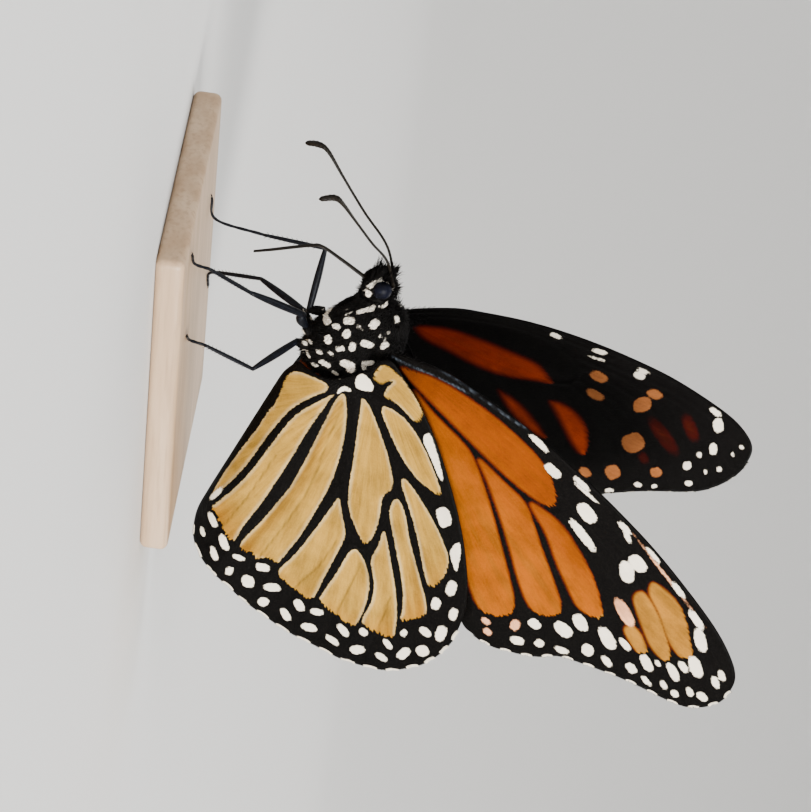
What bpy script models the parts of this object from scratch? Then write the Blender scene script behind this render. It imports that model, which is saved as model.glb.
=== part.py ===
"""A life-size monarch butterfly that stands with its wings half raised, on a small flat base.

Numbers on the body are millimetres, measured from the point midway between the hinges of the
fore wings: x runs back toward the tail, y to the butterfly's right and z up out of its back.
A side is +1 for the right one of a pair and -1 for the left one.
"""
import math

import bmesh
import bpy
import numpy as np
from mathutils import Vector

MM = 0.001
GAP = 0.3                       # clearance between pieces that meet
PITCH = math.radians(14.0)      # the body leans back with its head up
HINGE_HEIGHT = 20.6             # from the feet's centre lines up to the wing hinges
FOOT_RADIUS = 0.28

BASE_SIZE = (42.0, 27.0, 3.0)
BASE_CENTRE = (3.0, 0.0)
BASE_EDGE = 0.8

# Head, with the eyes set into its sides
HEAD_CENTRE = (-5.4, 0.0, -3.8)
HEAD_RADII = (1.6, 1.5, 2.1)
EYE_CENTRE = (-6.05, 1.2, -3.45)
EYE_RADII = (1.05, 0.75, 1.0)

# Body sections from front to back: x, half width, top and bottom
THORAX = [
    (-3.5, 1.0, -1.5, -4.2), (-3.1, 1.8, -0.6, -5.0), (-2.0, 2.3, 0.6, -5.75), (-0.5, 2.75, 1.3, -6.9),
    (1.5, 3.0, 1.7, -8.1), (3.5, 3.0, 1.5, -8.8), (5.5, 2.9, 0.9, -8.9), (7.2, 2.45, 0.0, -8.15),
    (8.0, 1.5, -1.2, -6.6)]
ABDOMEN = [
    (8.3, 1.2, -1.6, -5.0), (9.1, 1.9, -0.9, -5.6), (11.5, 2.2, -0.7, -5.8), (15.0, 2.3, -0.9, -6.0),
    (19.0, 2.2, -1.3, -6.2), (22.5, 1.9, -1.9, -6.2), (25.5, 1.4, -2.7, -5.9), (27.2, 0.8, -3.4, -5.4),
    (27.8, 0.3, -3.9, -4.9)]
BODY_SQUARENESS = 2.4           # 2 would make the sections plain ellipses
RING_POINTS = 24

# Wings: plates of one thickness, each drawn flat from its hinge
WING_THICKNESS = 0.5
FORE_HINGE = (0.0, 3.15, 0.0)
FORE_OPENING = math.radians(17.0)   # out from upright
FORE_SWEEP = math.radians(19.0)     # tip back from upright
# along the wing toward its tip, and across it toward the front edge
FORE_OUTLINE = [
    (0.5, 0.4), (5.0, 3.0), (9.0, 4.1), (13.5, 5.0), (18.0, 5.5), (23.0, 5.7), (28.5, 5.6), (34.0, 5.2),
    (40.0, 4.2), (45.0, 3.0), (48.5, 1.5), (50.5, 0.0), (51.5, -2.0), (51.8, -4.3), (51.2, -6.5),
    (50.0, -8.2), (48.0, -9.4), (45.5, -10.5), (43.5, -11.5), (41.5, -12.7), (39.5, -14.0),
    (37.5, -15.5), (36.0, -18.0), (34.0, -20.0), (32.0, -21.5), (30.0, -22.0), (27.5, -21.5),
    (20.0, -16.0), (12.0, -10.0), (5.0, -4.5), (1.5, -2.2), (0.4, -1.0)]
# the right hind wing is held a little higher and further back than the left one
HIND_HINGE = {1: (6.1, 3.9, 0.2), -1: (5.5, 3.7, -0.7)}
HIND_OPENING = math.radians(20.0)
# below a line that falls toward the tail, the inner edge curls in under the abdomen
TUCK_START = -3.0
TUCK_FALL = 0.085
TUCK_RADIUS = 6.2
# back from the hinge, and up the wing from it
HIND_OUTLINE = [
    (-3.4, -0.8), (-4.7, -0.1), (-5.1, 0.9), (-4.5, 2.0), (-2.4, 4.8), (0.7, 8.1), (5.5, 12.0),
    (11.5, 16.0), (17.5, 18.9),
    (22.0, 20.0), (26.5, 20.0), (30.5, 18.8), (33.0, 17.2), (35.0, 15.4), (36.3, 13.2), (37.5, 10.0),
    (37.9, 6.8), (38.3, 3.5), (38.0, 0.5), (37.0, -2.3), (35.6, -4.5), (34.1, -7.0), (32.7, -9.3),
    (31.2, -11.0), (28.8, -12.0), (25.5, -11.9), (18.0, -11.1), (11.5, -10.4), (7.0, -9.9),
    (4.4, -9.55), (2.6, -8.9), (1.3, -8.2), (1.1, -7.0), (0.8, -5.0), (0.2, -3.6), (-1.6, -1.7)]
# creases: how much each line falls toward the tail, and the heights where such lines start
HIND_FOLDS = [(0.0, range(-2, 4)), (TUCK_FALL, range(-11, -2))]
OUTLINE_STEPS = 3

# Tubes: x, y, z and radius at each point; those of a pair are given for the right side
ANTENNA_LEFT = [
    (-6.25, -0.38, -2.35, 0.3), (-9.7, -0.7, -4.2, 0.25), (-12.8, -2.2, -6.7, 0.25),
    (-16.3, -3.6, -9.5, 0.26), (-18.8, -4.6, -11.5, 0.34), (-19.6, -5.0, -12.6, 0.46),
    (-19.3, -5.6, -14.1, 0.36)]
ANTENNA_RIGHT = [
    (-6.25, 0.38, -2.35, 0.3), (-9.4, 1.8, -4.4, 0.25), (-11.5, 3.4, -7.8, 0.25),
    (-14.1, 4.6, -11.1, 0.26), (-16.1, 5.4, -13.5, 0.34), (-16.2, 5.8, -14.7, 0.46),
    (-15.5, 6.2, -15.9, 0.36)]
PROBOSCIS = [
    (-6.0, 0.0, -5.55, 0.28), (-7.4, 0.0, -8.7, 0.26), (-8.2, 0.0, -10.9, 0.26),
    (-7.8, 0.0, -12.1, 0.26), (-5.7, 0.0, -15.4, 0.25), (-4.6, 0.0, -17.2, 0.25)]
PALP = [
    (-5.1, 0.8, -5.35, 0.34), (-5.8, 0.8, -5.1, 0.38), (-6.6, 0.65, -4.75, 0.34), (-7.05, 0.5, -4.3, 0.26)]

# Legs: hip and first joint on the body, then the knee, ankle, ball and toe of the standing
# butterfly, measured level from the point between the hinges
HIP_MID = (1.6, 1.3, -7.6)
HIP_MID_LEFT = (2.9, 1.2, -8.7)     # this leg swings forward and shows its whole hip piece
HIP_HIND = (4.7, 1.3, -8.0)
LEGS = {
    "leg_mid_right": (HIP_MID, (2.3, 1.5, -9.1), [
        (-6.0, 4.7, -8.5), (-5.7, 5.8, -15.1), (-6.2, 6.6, -20.1), (-8.4, 7.5, -20.6)]),
    "leg_hind_right": (HIP_HIND, (3.5, 2.4, -9.5), [
        (1.0, 6.2, -15.1), (3.2, 8.6, -19.9), (4.2, 9.2, -20.6), (6.8, 10.1, -20.6)]),
    "leg_mid_left": (HIP_MID_LEFT, (0.3, 1.6, -10.0), [
        (-7.0, -4.5, -15.2), (-11.6, -6.7, -19.0), (-12.8, -7.5, -20.4), (-15.0, -8.6, -20.6)]),
    "leg_hind_left": (HIP_HIND, (4.2, 1.7, -9.5), [
        (2.4, -6.0, -14.2), (-1.0, -6.9, -19.0), (-1.8, -7.3, -20.4), (-3.8, -8.8, -20.6)]),
}
LEG_RADII = (0.62, 0.5, 0.4, 0.3, 0.26, 0.26)
LEG_BEND = 0.7                  # how far from a joint its bend begins
FORELEG = [
    (-0.6, 0.5, -6.5, 0.32), (-1.5, 0.5, -5.95, 0.3), (-2.3, 0.45, -5.45, 0.27), (-3.2, 0.45, -5.2, 0.26)]

BLACK = (0.012, 0.010, 0.010)
COLOURS = {
    "scales_black": (BLACK, 0.75), "eye": ((0.010, 0.010, 0.014), 0.2), "chitin": (BLACK, 0.35),
    "fore_wing": ((0.62, 0.20, 0.03), 0.65), "hind_wing": ((0.66, 0.42, 0.17), 0.65),
    "base_wood": ((0.62, 0.47, 0.30), 0.45)}


def clear_scene():
    for old in list(bpy.data.objects):
        bpy.data.objects.remove(old, do_unlink=True)


def add_collection(name):
    made = bpy.data.collections.new(name)
    bpy.context.scene.collection.children.link(made)
    return made


def add_material(name):
    colour, roughness = COLOURS[name]
    made = bpy.data.materials.new(name)
    made.use_nodes = True
    shader = made.node_tree.nodes["Principled BSDF"]
    shader.inputs["Base Color"].default_value = (*colour, 1.0)
    shader.inputs["Roughness"].default_value = roughness
    shader.inputs["Metallic"].default_value = 0.0
    return made


def add_object(name, data, slot):
    """A part of the butterfly, carried by the empty that gives the body its pitch."""
    made = bpy.data.objects.new(name, data)
    PARTS.objects.link(made)
    made.data.materials.append(MATERIALS[slot])
    made.parent = POSE
    return made


def as_mesh(curve_object):
    """The curve's shape as a closed mesh in its place, its caps welded on."""
    bpy.context.view_layer.update()
    shape = curve_object.evaluated_get(bpy.context.evaluated_depsgraph_get())
    mesh = bpy.data.meshes.new_from_object(shape)
    name, parent = curve_object.name, curve_object.parent
    bpy.data.objects.remove(curve_object)
    work = bmesh.new()
    work.from_mesh(mesh)
    bmesh.ops.remove_doubles(work, verts=work.verts, dist=0.00001)
    work.to_mesh(mesh)
    work.free()
    made = bpy.data.objects.new(name, mesh)
    PARTS.objects.link(made)
    made.parent = parent
    mesh.shade_smooth()
    return made


def face_outward(work):
    """Turn a closed mesh's faces the same way round, and that way outward."""
    bmesh.ops.recalc_face_normals(work, faces=work.faces)
    if work.calc_volume(signed=True) < 0:
        bmesh.ops.reverse_faces(work, faces=work.faces)


def smooth_path(points, steps, closed=False):
    """A Catmull-Rom curve through rows of numbers, with this many steps from row to row."""
    rows = np.array(points, float)
    if closed:
        rows = np.vstack([rows[-1], rows, rows[:2]])
    else:
        rows = np.vstack([2 * rows[0] - rows[1], rows, 2 * rows[-1] - rows[-2]])
    path = []
    for before, start, end, after in zip(rows, rows[1:], rows[2:], rows[3:]):
        for t in np.arange(steps) / steps:
            path.append(0.5 * (2 * start + (end - before) * t
                               + (2 * before - 5 * start + 4 * end - after) * t ** 2
                               + (3 * start - 3 * end + after - before) * t ** 3))
    if not closed:
        path.append(rows[-2])
    return np.array(path)


def jointed_path(points, bend):
    """Straight runs from joint to joint, each joint rounded over the distance bend."""
    rows = np.array(points, float)
    path = [rows[0]]
    for before, joint, after in zip(rows, rows[1:], rows[2:]):
        runs = [np.linalg.norm((end - joint)[:3]) for end in (before, after)]
        enter = joint + (before - joint) * min(bend / runs[0], 0.45)
        leave = joint + (after - joint) * min(bend / runs[1], 0.45)
        path.append(enter)
        path.append(0.25 * enter + 0.5 * joint + 0.25 * leave)
        path.append(leave)
    path.append(rows[-1])
    return np.array(path)


def add_tube(name, path, slot):
    """A round tube along the path, whose rows are x, y, z and radius."""
    curve = bpy.data.curves.new(name, "CURVE")
    curve.dimensions = "3D"
    curve.bevel_depth = MM
    curve.bevel_resolution = 2
    curve.use_fill_caps = True
    spline = curve.splines.new("POLY")
    spline.points.add(len(path) - 1)
    for point, (x, y, z, radius) in zip(spline.points, path):
        point.co = (x * MM, y * MM, z * MM, 1.0)
        point.radius = radius
    return as_mesh(add_object(name, curve, slot))


def add_loft(name, sections, slot):
    """A body of rounded sections one behind another, closed at both ends."""
    work = bmesh.new()
    rings = []
    for x, half_width, top, bottom in smooth_path(sections, 2):
        ring = []
        for step in range(RING_POINTS):
            angle = 2 * math.pi * step / RING_POINTS
            out = [math.copysign(abs(part) ** (2 / BODY_SQUARENESS), part)
                   for part in (math.cos(angle), math.sin(angle))]
            z = (top + bottom) / 2 + out[1] * (top - bottom) / 2
            ring.append(work.verts.new(Vector((x, half_width * out[0], z)) * MM))
        rings.append(ring)
    for ring, following in zip(rings, rings[1:]):
        for step in range(RING_POINTS):
            after = (step + 1) % RING_POINTS
            work.faces.new((ring[step], ring[after], following[after], following[step]))
    work.faces.new(rings[0])
    work.faces.new(rings[-1])
    face_outward(work)
    mesh = bpy.data.meshes.new(name)
    work.to_mesh(mesh)
    work.free()
    mesh.shade_smooth()
    return add_object(name, mesh, slot)


def add_ellipsoid(name, centre, radii, slot):
    work = bmesh.new()
    bmesh.ops.create_uvsphere(work, u_segments=20, v_segments=14, radius=MM)
    for vertex in work.verts:
        vertex.co = [centre[axis] * MM + vertex.co[axis] * radii[axis] for axis in range(3)]
    mesh = bpy.data.meshes.new(name)
    work.to_mesh(mesh)
    work.free()
    mesh.shade_smooth()
    return add_object(name, mesh, slot)


def on_fore_wing(along, across, lift, side):
    """A point of the fore wing's plane, lifted off it toward the outside."""
    span = Vector((0.0, side * math.sin(FORE_OPENING), math.cos(FORE_OPENING)))
    back = Vector((1.0, 0.0, 0.0))
    outside = Vector((0.0, side * math.cos(FORE_OPENING), -math.sin(FORE_OPENING)))
    tipward = span * math.cos(FORE_SWEEP) + back * math.sin(FORE_SWEEP)
    forward = span * math.sin(FORE_SWEEP) - back * math.cos(FORE_SWEEP)
    hinge = Vector((FORE_HINGE[0], side * FORE_HINGE[1], FORE_HINGE[2]))
    return hinge + tipward * along + forward * across + outside * lift


def on_hind_wing(back, up, lift, side):
    """A point of the hind wing's surface, which opens above the hinge and tucks in below."""
    def surface(along, height):
        turn = max(0.0, TUCK_START - height - TUCK_FALL * along) / TUCK_RADIUS
        sideways = math.sin(HIND_OPENING) * math.log1p(math.exp(height))
        sideways -= TUCK_RADIUS * (1 - math.cos(turn))
        rise = height * (math.cos(HIND_OPENING) if height > 0 else 1.0)
        rise += TUCK_RADIUS * (turn - math.sin(turn))
        return Vector((along, sideways, rise))

    step = 0.1
    across = surface(back, up + step) - surface(back, up - step)
    outside = across.cross(surface(back + step, up) - surface(back - step, up)).normalized()
    x, y, z = Vector(HIND_HINGE[side]) + surface(back, up) + outside * lift
    return Vector((x, side * y, z))


def add_wing(name, outline, place, side, folds, slot):
    """A plate cut to the outline, creased at the folds, each corner then put in its place."""
    curve = bpy.data.curves.new(name, "CURVE")
    curve.dimensions = "2D"
    curve.fill_mode = "BOTH"
    curve.extrude = WING_THICKNESS / 2
    spline = curve.splines.new("POLY")
    path = smooth_path(outline, OUTLINE_STEPS, closed=True)
    spline.points.add(len(path) - 1)
    for point, (first, second) in zip(spline.points, path):
        point.co = (first, second, 0.0, 1.0)
    spline.use_cyclic_u = True
    wing = as_mesh(add_object(name, curve, slot))
    work = bmesh.new()
    work.from_mesh(wing.data)
    for fall, heights in folds:
        for height in heights:
            everything = work.verts[:] + work.edges[:] + work.faces[:]
            bmesh.ops.bisect_plane(
                work, geom=everything, dist=0.0001, plane_co=(0, height, 0), plane_no=(fall, 1, 0))
    for vertex in work.verts:
        vertex.co = place(*vertex.co, side) * MM
    face_outward(work)
    work.to_mesh(wing.data)
    work.free()
    wing.data.shade_flat()
    return wing


def on_body(x, y, z):
    """A point given for the standing butterfly, in the body's own tilted measures."""
    return (x * math.cos(PITCH) - z * math.sin(PITCH), y, x * math.sin(PITCH) + z * math.cos(PITCH))


def add_leg(name):
    """Hip, thigh, shin and foot as one limb that tapers from joint to joint."""
    hip, first_joint, standing = LEGS[name]
    side = 1 if name.endswith("right") else -1
    joints = [(x, side * y, z) for x, y, z in (hip, first_joint)]
    joints += [on_body(*point) for point in standing]
    rows = [(*joint, radius) for joint, radius in zip(joints, LEG_RADII)]
    return add_tube(name, jointed_path(rows, LEG_BEND), "chitin")


def mirrored(points, side):
    return [(x, side * y, *rest) for x, y, *rest in points]


def cut_clear(piece, neighbours):
    """Hollow the piece where its neighbours enter it, and leave the gap around them."""
    for neighbour in neighbours:
        cutter = bpy.data.objects.new(neighbour.name + "_clearance", neighbour.data)
        CUTTERS.objects.link(cutter)
        cutter.parent = POSE
        cutter.hide_render = True
        cutter.display_type = "WIRE"
        swell = cutter.modifiers.new("gap", "DISPLACE")
        swell.mid_level = 0.0
        swell.strength = GAP * MM
        cut = piece.modifiers.new(neighbour.name, "BOOLEAN")
        cut.operation = "DIFFERENCE"
        cut.solver = "EXACT"
        cut.object = cutter


def add_head():
    fitted = []
    for side, word in ((1, "right"), (-1, "left")):
        eye_centre = (EYE_CENTRE[0], side * EYE_CENTRE[1], EYE_CENTRE[2])
        fitted.append(add_ellipsoid("eye_" + word, eye_centre, EYE_RADII, "eye"))
        fitted.append(add_tube("palp_" + word, smooth_path(mirrored(PALP, side), 3), "scales_black"))
    fitted.append(add_tube("antenna_right", smooth_path(ANTENNA_RIGHT, 4), "chitin"))
    fitted.append(add_tube("antenna_left", smooth_path(ANTENNA_LEFT, 4), "chitin"))
    fitted.append(add_tube("proboscis", smooth_path(PROBOSCIS, 4), "chitin"))
    cut_clear(add_ellipsoid("head", HEAD_CENTRE, HEAD_RADII, "scales_black"), fitted)


def add_thorax():
    legs = [add_leg(name) for name in LEGS]
    for side, word in ((1, "right"), (-1, "left")):
        path = smooth_path(mirrored(FORELEG, side), 3)
        legs.append(add_tube("leg_fore_" + word, path, "scales_black"))
    cut_clear(add_loft("thorax", THORAX, "scales_black"), legs)


def add_wings():
    for side, word in ((1, "right"), (-1, "left")):
        add_wing("fore_wing_" + word, FORE_OUTLINE, on_fore_wing, side, (), "fore_wing")
        add_wing("hind_wing_" + word, HIND_OUTLINE, on_hind_wing, side, HIND_FOLDS, "hind_wing")


def add_base():
    """The flat plate under the feet, its edges rounded; it stands level and takes no pitch."""
    work = bmesh.new()
    bmesh.ops.create_cube(work, size=MM)
    bmesh.ops.scale(work, vec=BASE_SIZE, verts=work.verts)
    mesh = bpy.data.meshes.new("stand_base")
    work.to_mesh(mesh)
    work.free()
    base = add_object("stand_base", mesh, "base_wood")
    base.parent = ROOT
    base.location = Vector((*BASE_CENTRE, BASE_SIZE[2] / 2)) * MM
    edge = base.modifiers.new("rounded edge", "BEVEL")
    edge.width = BASE_EDGE * MM
    edge.segments = 3


def centre_on_origin():
    """Slide the whole thing level until its box is centred over the origin."""
    bpy.context.view_layer.update()
    depsgraph = bpy.context.evaluated_depsgraph_get()
    points = []
    for part in PARTS.objects:
        shape = part.evaluated_get(depsgraph)
        points += [part.matrix_world @ vertex.co for vertex in shape.data.vertices]
    for axis in range(2):
        spread = [point[axis] for point in points]
        ROOT.location[axis] -= (min(spread) + max(spread)) / 2


clear_scene()
PARTS = add_collection("monarch_butterfly")
CUTTERS = add_collection("cutters")
MATERIALS = {name: add_material(name) for name in COLOURS}
ROOT = bpy.data.objects.new("standing_place", None)
POSE = bpy.data.objects.new("body_pose", None)
for empty in (ROOT, POSE):
    bpy.context.scene.collection.objects.link(empty)
POSE.parent = ROOT
POSE.rotation_euler[1] = PITCH
POSE.location[2] = (BASE_SIZE[2] + GAP + FOOT_RADIUS + HINGE_HEIGHT) * MM

add_head()
add_thorax()
add_loft("abdomen", ABDOMEN, "scales_black")
add_wings()
add_base()
centre_on_origin()
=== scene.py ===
import math

import bmesh
import bpy
import numpy as np
from mathutils import Matrix, Vector, geometry


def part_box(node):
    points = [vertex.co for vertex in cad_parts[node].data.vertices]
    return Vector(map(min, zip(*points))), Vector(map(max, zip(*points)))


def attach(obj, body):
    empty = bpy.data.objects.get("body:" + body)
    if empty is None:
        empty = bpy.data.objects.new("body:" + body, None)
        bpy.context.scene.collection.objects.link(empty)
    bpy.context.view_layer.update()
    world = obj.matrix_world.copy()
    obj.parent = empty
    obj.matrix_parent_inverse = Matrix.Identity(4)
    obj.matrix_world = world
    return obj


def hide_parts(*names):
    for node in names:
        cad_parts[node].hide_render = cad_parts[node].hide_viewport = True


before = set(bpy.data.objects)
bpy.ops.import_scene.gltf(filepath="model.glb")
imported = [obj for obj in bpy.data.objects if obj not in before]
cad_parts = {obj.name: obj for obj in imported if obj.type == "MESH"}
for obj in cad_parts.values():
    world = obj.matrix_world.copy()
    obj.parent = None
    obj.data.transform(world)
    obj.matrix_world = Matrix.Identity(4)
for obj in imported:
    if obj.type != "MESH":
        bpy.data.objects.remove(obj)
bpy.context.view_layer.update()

# A monarch butterfly with its wings half raised, standing on a small wooden base.
# Body measures are millimetres from the point midway between the hinges of the fore wings:
# x back toward the tail, y to the butterfly's right, z up out of its back. The whole body then
# leans back by PITCH. A side is 1 for the right one of a pair and -1 for the left one.
MM = 0.001
PITCH = math.radians(14.0)
STANDING_HEIGHT = 21.18         # from the top of the base up to the hinges
BASE_LOW, BASE_HIGH = (np.array(corner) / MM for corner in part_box("stand_base"))
HINGES = np.array([(BASE_LOW[0] + BASE_HIGH[0]) / 2 - 3.0, 0.0, BASE_HIGH[2] + STANDING_HEIGHT])
CHANCE = np.random.default_rng(7)
SIDES = ((-1, "left"), (1, "right"))
PATCH = 0.003                   # how much of its flat layout one lock of hair takes up
SCALES_PER_MM = 6.5             # how fine the wings' scales show


# ---------------------------------------------------------------- measures

def to_row(points):
    """Body measures, in millimetres, to places in the row, in millimetres."""
    x, y, z = np.asarray(points, float).T
    return HINGES + np.stack([
        x * math.cos(PITCH) + z * math.sin(PITCH), y, z * math.cos(PITCH) - x * math.sin(PITCH)], 1)


def level(x, y, z):
    """A point measured level from between the hinges, in the body's own tilted measures."""
    return x * math.cos(PITCH) - z * math.sin(PITCH), y, x * math.sin(PITCH) + z * math.cos(PITCH)


def unit(rows):
    """Each row at a length of one."""
    return rows / np.maximum(np.linalg.norm(rows, axis=-1, keepdims=True), 1e-9)


def smooth_path(points, steps, closed=False):
    """A Catmull-Rom curve through rows of numbers."""
    rows = np.array(points, float)
    if closed:
        rows = np.vstack([rows[-1], rows, rows[:2]])
    else:
        rows = np.vstack([2 * rows[0] - rows[1], rows, 2 * rows[-1] - rows[-2]])
    t = (np.arange(steps) / steps)[:, None]
    path = []
    for before, start, end, after in zip(rows, rows[1:], rows[2:], rows[3:]):
        path.append(0.5 * (2 * start + (end - before) * t
                           + (2 * before - 5 * start + 4 * end - after) * t ** 2
                           + (3 * start - 3 * end + after - before) * t ** 3))
    if not closed:
        path.append(rows[-2][None])
    return np.vstack(path)


def evenly(path, spacing, closed=False):
    """The same path with its points set evenly along it."""
    rows = np.vstack([path, path[:1]]) if closed else path
    run = np.concatenate([[0.0], np.cumsum(np.linalg.norm(np.diff(rows[:, :3], axis=0), axis=1))])
    count = max(3, round(run[-1] / spacing))
    where = np.linspace(0.0, run[-1], count + 1)
    if closed:
        where = where[:-1]
    return np.stack([np.interp(where, run, column) for column in rows.T], 1)


def distance_to(points, path, closed=False):
    """How far each flat point is from the path."""
    ends = np.vstack([path[1:], path[:1]]) if closed else path[1:]
    nearest = np.full(len(points), 1e9)
    for start, end in zip(path, ends):
        run = end - start
        t = np.clip((points - start) @ run / max(run @ run, 1e-9), 0.0, 1.0)
        gap = points - start - t[:, None] * run
        nearest = np.minimum(nearest, np.einsum("ij,ij->i", gap, gap))
    return np.sqrt(nearest)


def inside(points, ring):
    """Which flat points lie inside the closed ring."""
    within = np.zeros(len(points), bool)
    x, y = points.T
    for (ax, ay), (bx, by) in zip(ring, np.roll(ring, -1, axis=0)):
        if ay != by:
            crossed = ((ay > y) != (by > y)) & (x < (bx - ax) * (y - ay) / (by - ay) + ax)
            within ^= crossed
    return within


def depth_in_cells(points, cells):
    """Depth inside the nearest of some closed loops, negative outside them all."""
    deepest = np.full(len(points), -9.0)
    for loop in cells:
        ring = smooth_path(loop, 5, closed=True)
        away = distance_to(points, ring, closed=True)
        deepest = np.maximum(deepest, np.where(inside(points, ring), away, -away))
    return deepest


def depth_in_spots(points, spots):
    """The same for oval spots, each given as place, half length, half width and turn in degrees."""
    deepest = np.full(len(points), -9.0)
    for x, y, long, wide, turn in spots:
        c, s = math.cos(math.radians(turn)), math.sin(math.radians(turn))
        across = points - (x, y)
        along, aside = across[:, 0] * c + across[:, 1] * s, across[:, 1] * c - across[:, 0] * s
        reach = (np.abs(along / long) ** 2.5 + np.abs(aside / wide) ** 2.5) ** 0.4
        deepest = np.maximum(deepest, (1.0 - reach) * wide)
    return deepest


# ---------------------------------------------------------------- pieces

def add_piece(name, points, faces, materials, which=None):
    """A mesh piece from places in the row, in millimetres; which says each face's material."""
    mesh = bpy.data.meshes.new(name)
    mesh.from_pydata((np.asarray(points) * MM).tolist(), [], [list(face) for face in faces])
    made = bpy.data.objects.new(name, mesh)
    bpy.context.scene.collection.objects.link(made)
    for material in materials:
        mesh.materials.append(material)
    if which is not None:
        mesh.polygons.foreach_set("material_index", np.asarray(which, np.int32))
    mesh.shade_smooth()
    mesh.update()
    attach(made, "root")
    return made


def add_values(piece, **values):
    """Numbers carried by the piece's corners, for its material to read."""
    for name, numbers in values.items():
        layer = piece.data.attributes.new(name, "FLOAT", "POINT")
        layer.data.foreach_set("value", np.asarray(numbers, np.float32))


def add_map(piece, places):
    """The piece's flat layout, from a place for every corner of every face."""
    layer = piece.data.uv_layers.new(name="OFBake")
    layer.data.foreach_set("uv", np.asarray(places, np.float32).ravel())


def corner_points(piece):
    """Which point each corner of the piece's faces stands on."""
    index = np.empty(len(piece.data.loops), np.int32)
    piece.data.loops.foreach_get("vertex_index", index)
    return index


def volume(points, faces):
    """Six times what the faces close in; below nought where they look inward."""
    around = points - points.mean(0)
    thirds = np.array([(face[0], *pair) for face in faces for pair in zip(face[1:], face[2:])])
    first, second, third = around[thirds].swapaxes(0, 1)
    return np.einsum("ij,ij->", first, np.cross(second, third))


def outward(points, faces):
    """The faces of one closed shape, all looking outward."""
    return faces if volume(points, faces) > 0 else [face[::-1] for face in faces]


def ring_faces(rings, sides):
    """Faces of a closed rod whose points go round it ring by ring."""
    faces = []
    for here in range(0, (rings - 1) * sides, sides):
        for step in range(sides):
            after = (step + 1) % sides
            faces.append((here + step, here + after, here + sides + after, here + sides + step))
    last = (rings - 1) * sides
    return faces + [tuple(range(sides))[::-1], tuple(range(last, last + sides))]


def tube(path, radii, sides):
    """Points and faces of a round rod along the path, in body measures."""
    path = np.asarray(path, float)
    ahead = unit(np.gradient(path, axis=0))
    up = np.array([0.0, 0.0, 1.0]) if abs(ahead[0][2]) < 0.8 else np.array([1.0, 0.0, 0.0])
    turn = np.arange(sides) * 2 * math.pi / sides
    points = []
    for place, forward, radius in zip(path, ahead, radii):
        side = unit(np.cross(forward, up))
        up = unit(np.cross(side, forward))
        points.append(place + radius * (np.outer(np.cos(turn), side) + np.outer(np.sin(turn), up)))
    return np.vstack(points), ring_faces(len(path), sides)


def ball(centre, radii, sides=32, rings=20):
    """Points and faces of an oval ball, its axis across the body."""
    angles = np.linspace(0.02, math.pi - 0.02, rings)
    path = np.stack([np.zeros(rings), -np.cos(angles), np.zeros(rings)], 1)
    points, faces = tube(path, np.sin(angles), sides)
    return np.array(centre) + points * radii, faces


def joined(shapes):
    """Several closed shapes' points and faces as one list of each, every face looking outward."""
    points, faces, count = [], [], 0
    for more, more_faces in shapes:
        points.append(more)
        faces += [tuple(corner + count for corner in face) for face in outward(more, more_faces)]
        count += len(more)
    return np.vstack(points), faces


def add_rods(name, rods, sides, material):
    """One piece of several rods, each a path with its radii."""
    points, faces = joined(tube(path, radii, sides) for path, radii in rods)
    return add_piece(name, to_row(points), faces, [material])


def add_tufts(name, material, width, curl, roots, ways, outs, lengths, places, white):
    """Many small flat locks joined as one piece: each lies its own way and tapers to a point.

    Everything is in row millimetres; places are the roots' spots in the flat layout, and white
    says how deep in a white mark each lock stands.
    """
    ways, outs = unit(ways), unit(outs)
    across = unit(np.cross(ways, outs))
    lift = unit(np.cross(across, ways))
    lengths, widths = lengths[:, None], np.broadcast_to(width, len(roots))[:, None]
    corners = []
    for along, aside, rise in ((0.0, -0.5, -0.1), (0.0, 0.5, -0.1), (0.0, 0.0, 0.25),
                               (0.55, -0.42, 0.0), (0.55, 0.42, 0.0), (0.55, 0.0, 0.22)):
        bend = curl * along * along * lengths
        corners.append(roots + ways * along * lengths + across * aside * widths
                       + lift * (rise * widths - bend))
    corners.append(roots + ways * lengths - lift * curl * lengths)
    points = np.stack(corners, 1).reshape(-1, 3)
    lock = [(0, 1, 4, 3), (1, 2, 5, 4), (2, 0, 3, 5), (3, 4, 6), (4, 5, 6), (5, 3, 6), (2, 1, 0)]
    patch = np.array([(-0.4, -0.5), (0.4, -0.5), (0.0, -0.5), (-0.4, 0.0), (0.4, 0.0), (0.0, 0.1),
                      (0.0, 0.5)]) * PATCH
    faces = [tuple(start + corner for corner in face)
             for start in range(0, len(points), len(patch)) for face in lock]
    piece = add_piece(name, points, faces, [material])
    layout = (np.asarray(places)[:, None] + patch).reshape(-1, 2)
    add_map(piece, layout[corner_points(piece)])
    add_values(piece, white=np.repeat(white, len(patch)))
    return piece


# ---------------------------------------------------------------- finishes

def node(tree, kind, inputs=None, **settings):
    """A shader node with its settings, its inputs given as numbers or as other nodes' outputs."""
    made = tree.nodes.new(kind)
    for key, value in settings.items():
        setattr(made, key, value)
    for key, value in (inputs or {}).items():
        if isinstance(value, bpy.types.NodeSocket):
            tree.links.new(value, made.inputs[key])
        else:
            made.inputs[key].default_value = value
    return made


def value_of(tree, name):
    """A number that the piece carries for its material."""
    return node(tree, "ShaderNodeAttribute", attribute_name=name).outputs["Fac"]


def maths(tree, operation, first, second, third=0.0):
    """One sum, of numbers or of other nodes' outputs."""
    return node(tree, "ShaderNodeMath", {0: first, 1: second, 2: third}, operation=operation).outputs[0]


def scaled(tree, colour, by):
    """The colour made darker or lighter."""
    return node(tree, "ShaderNodeVectorMath", {0: colour, "Scale": by}, operation="SCALE").outputs[0]


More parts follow.
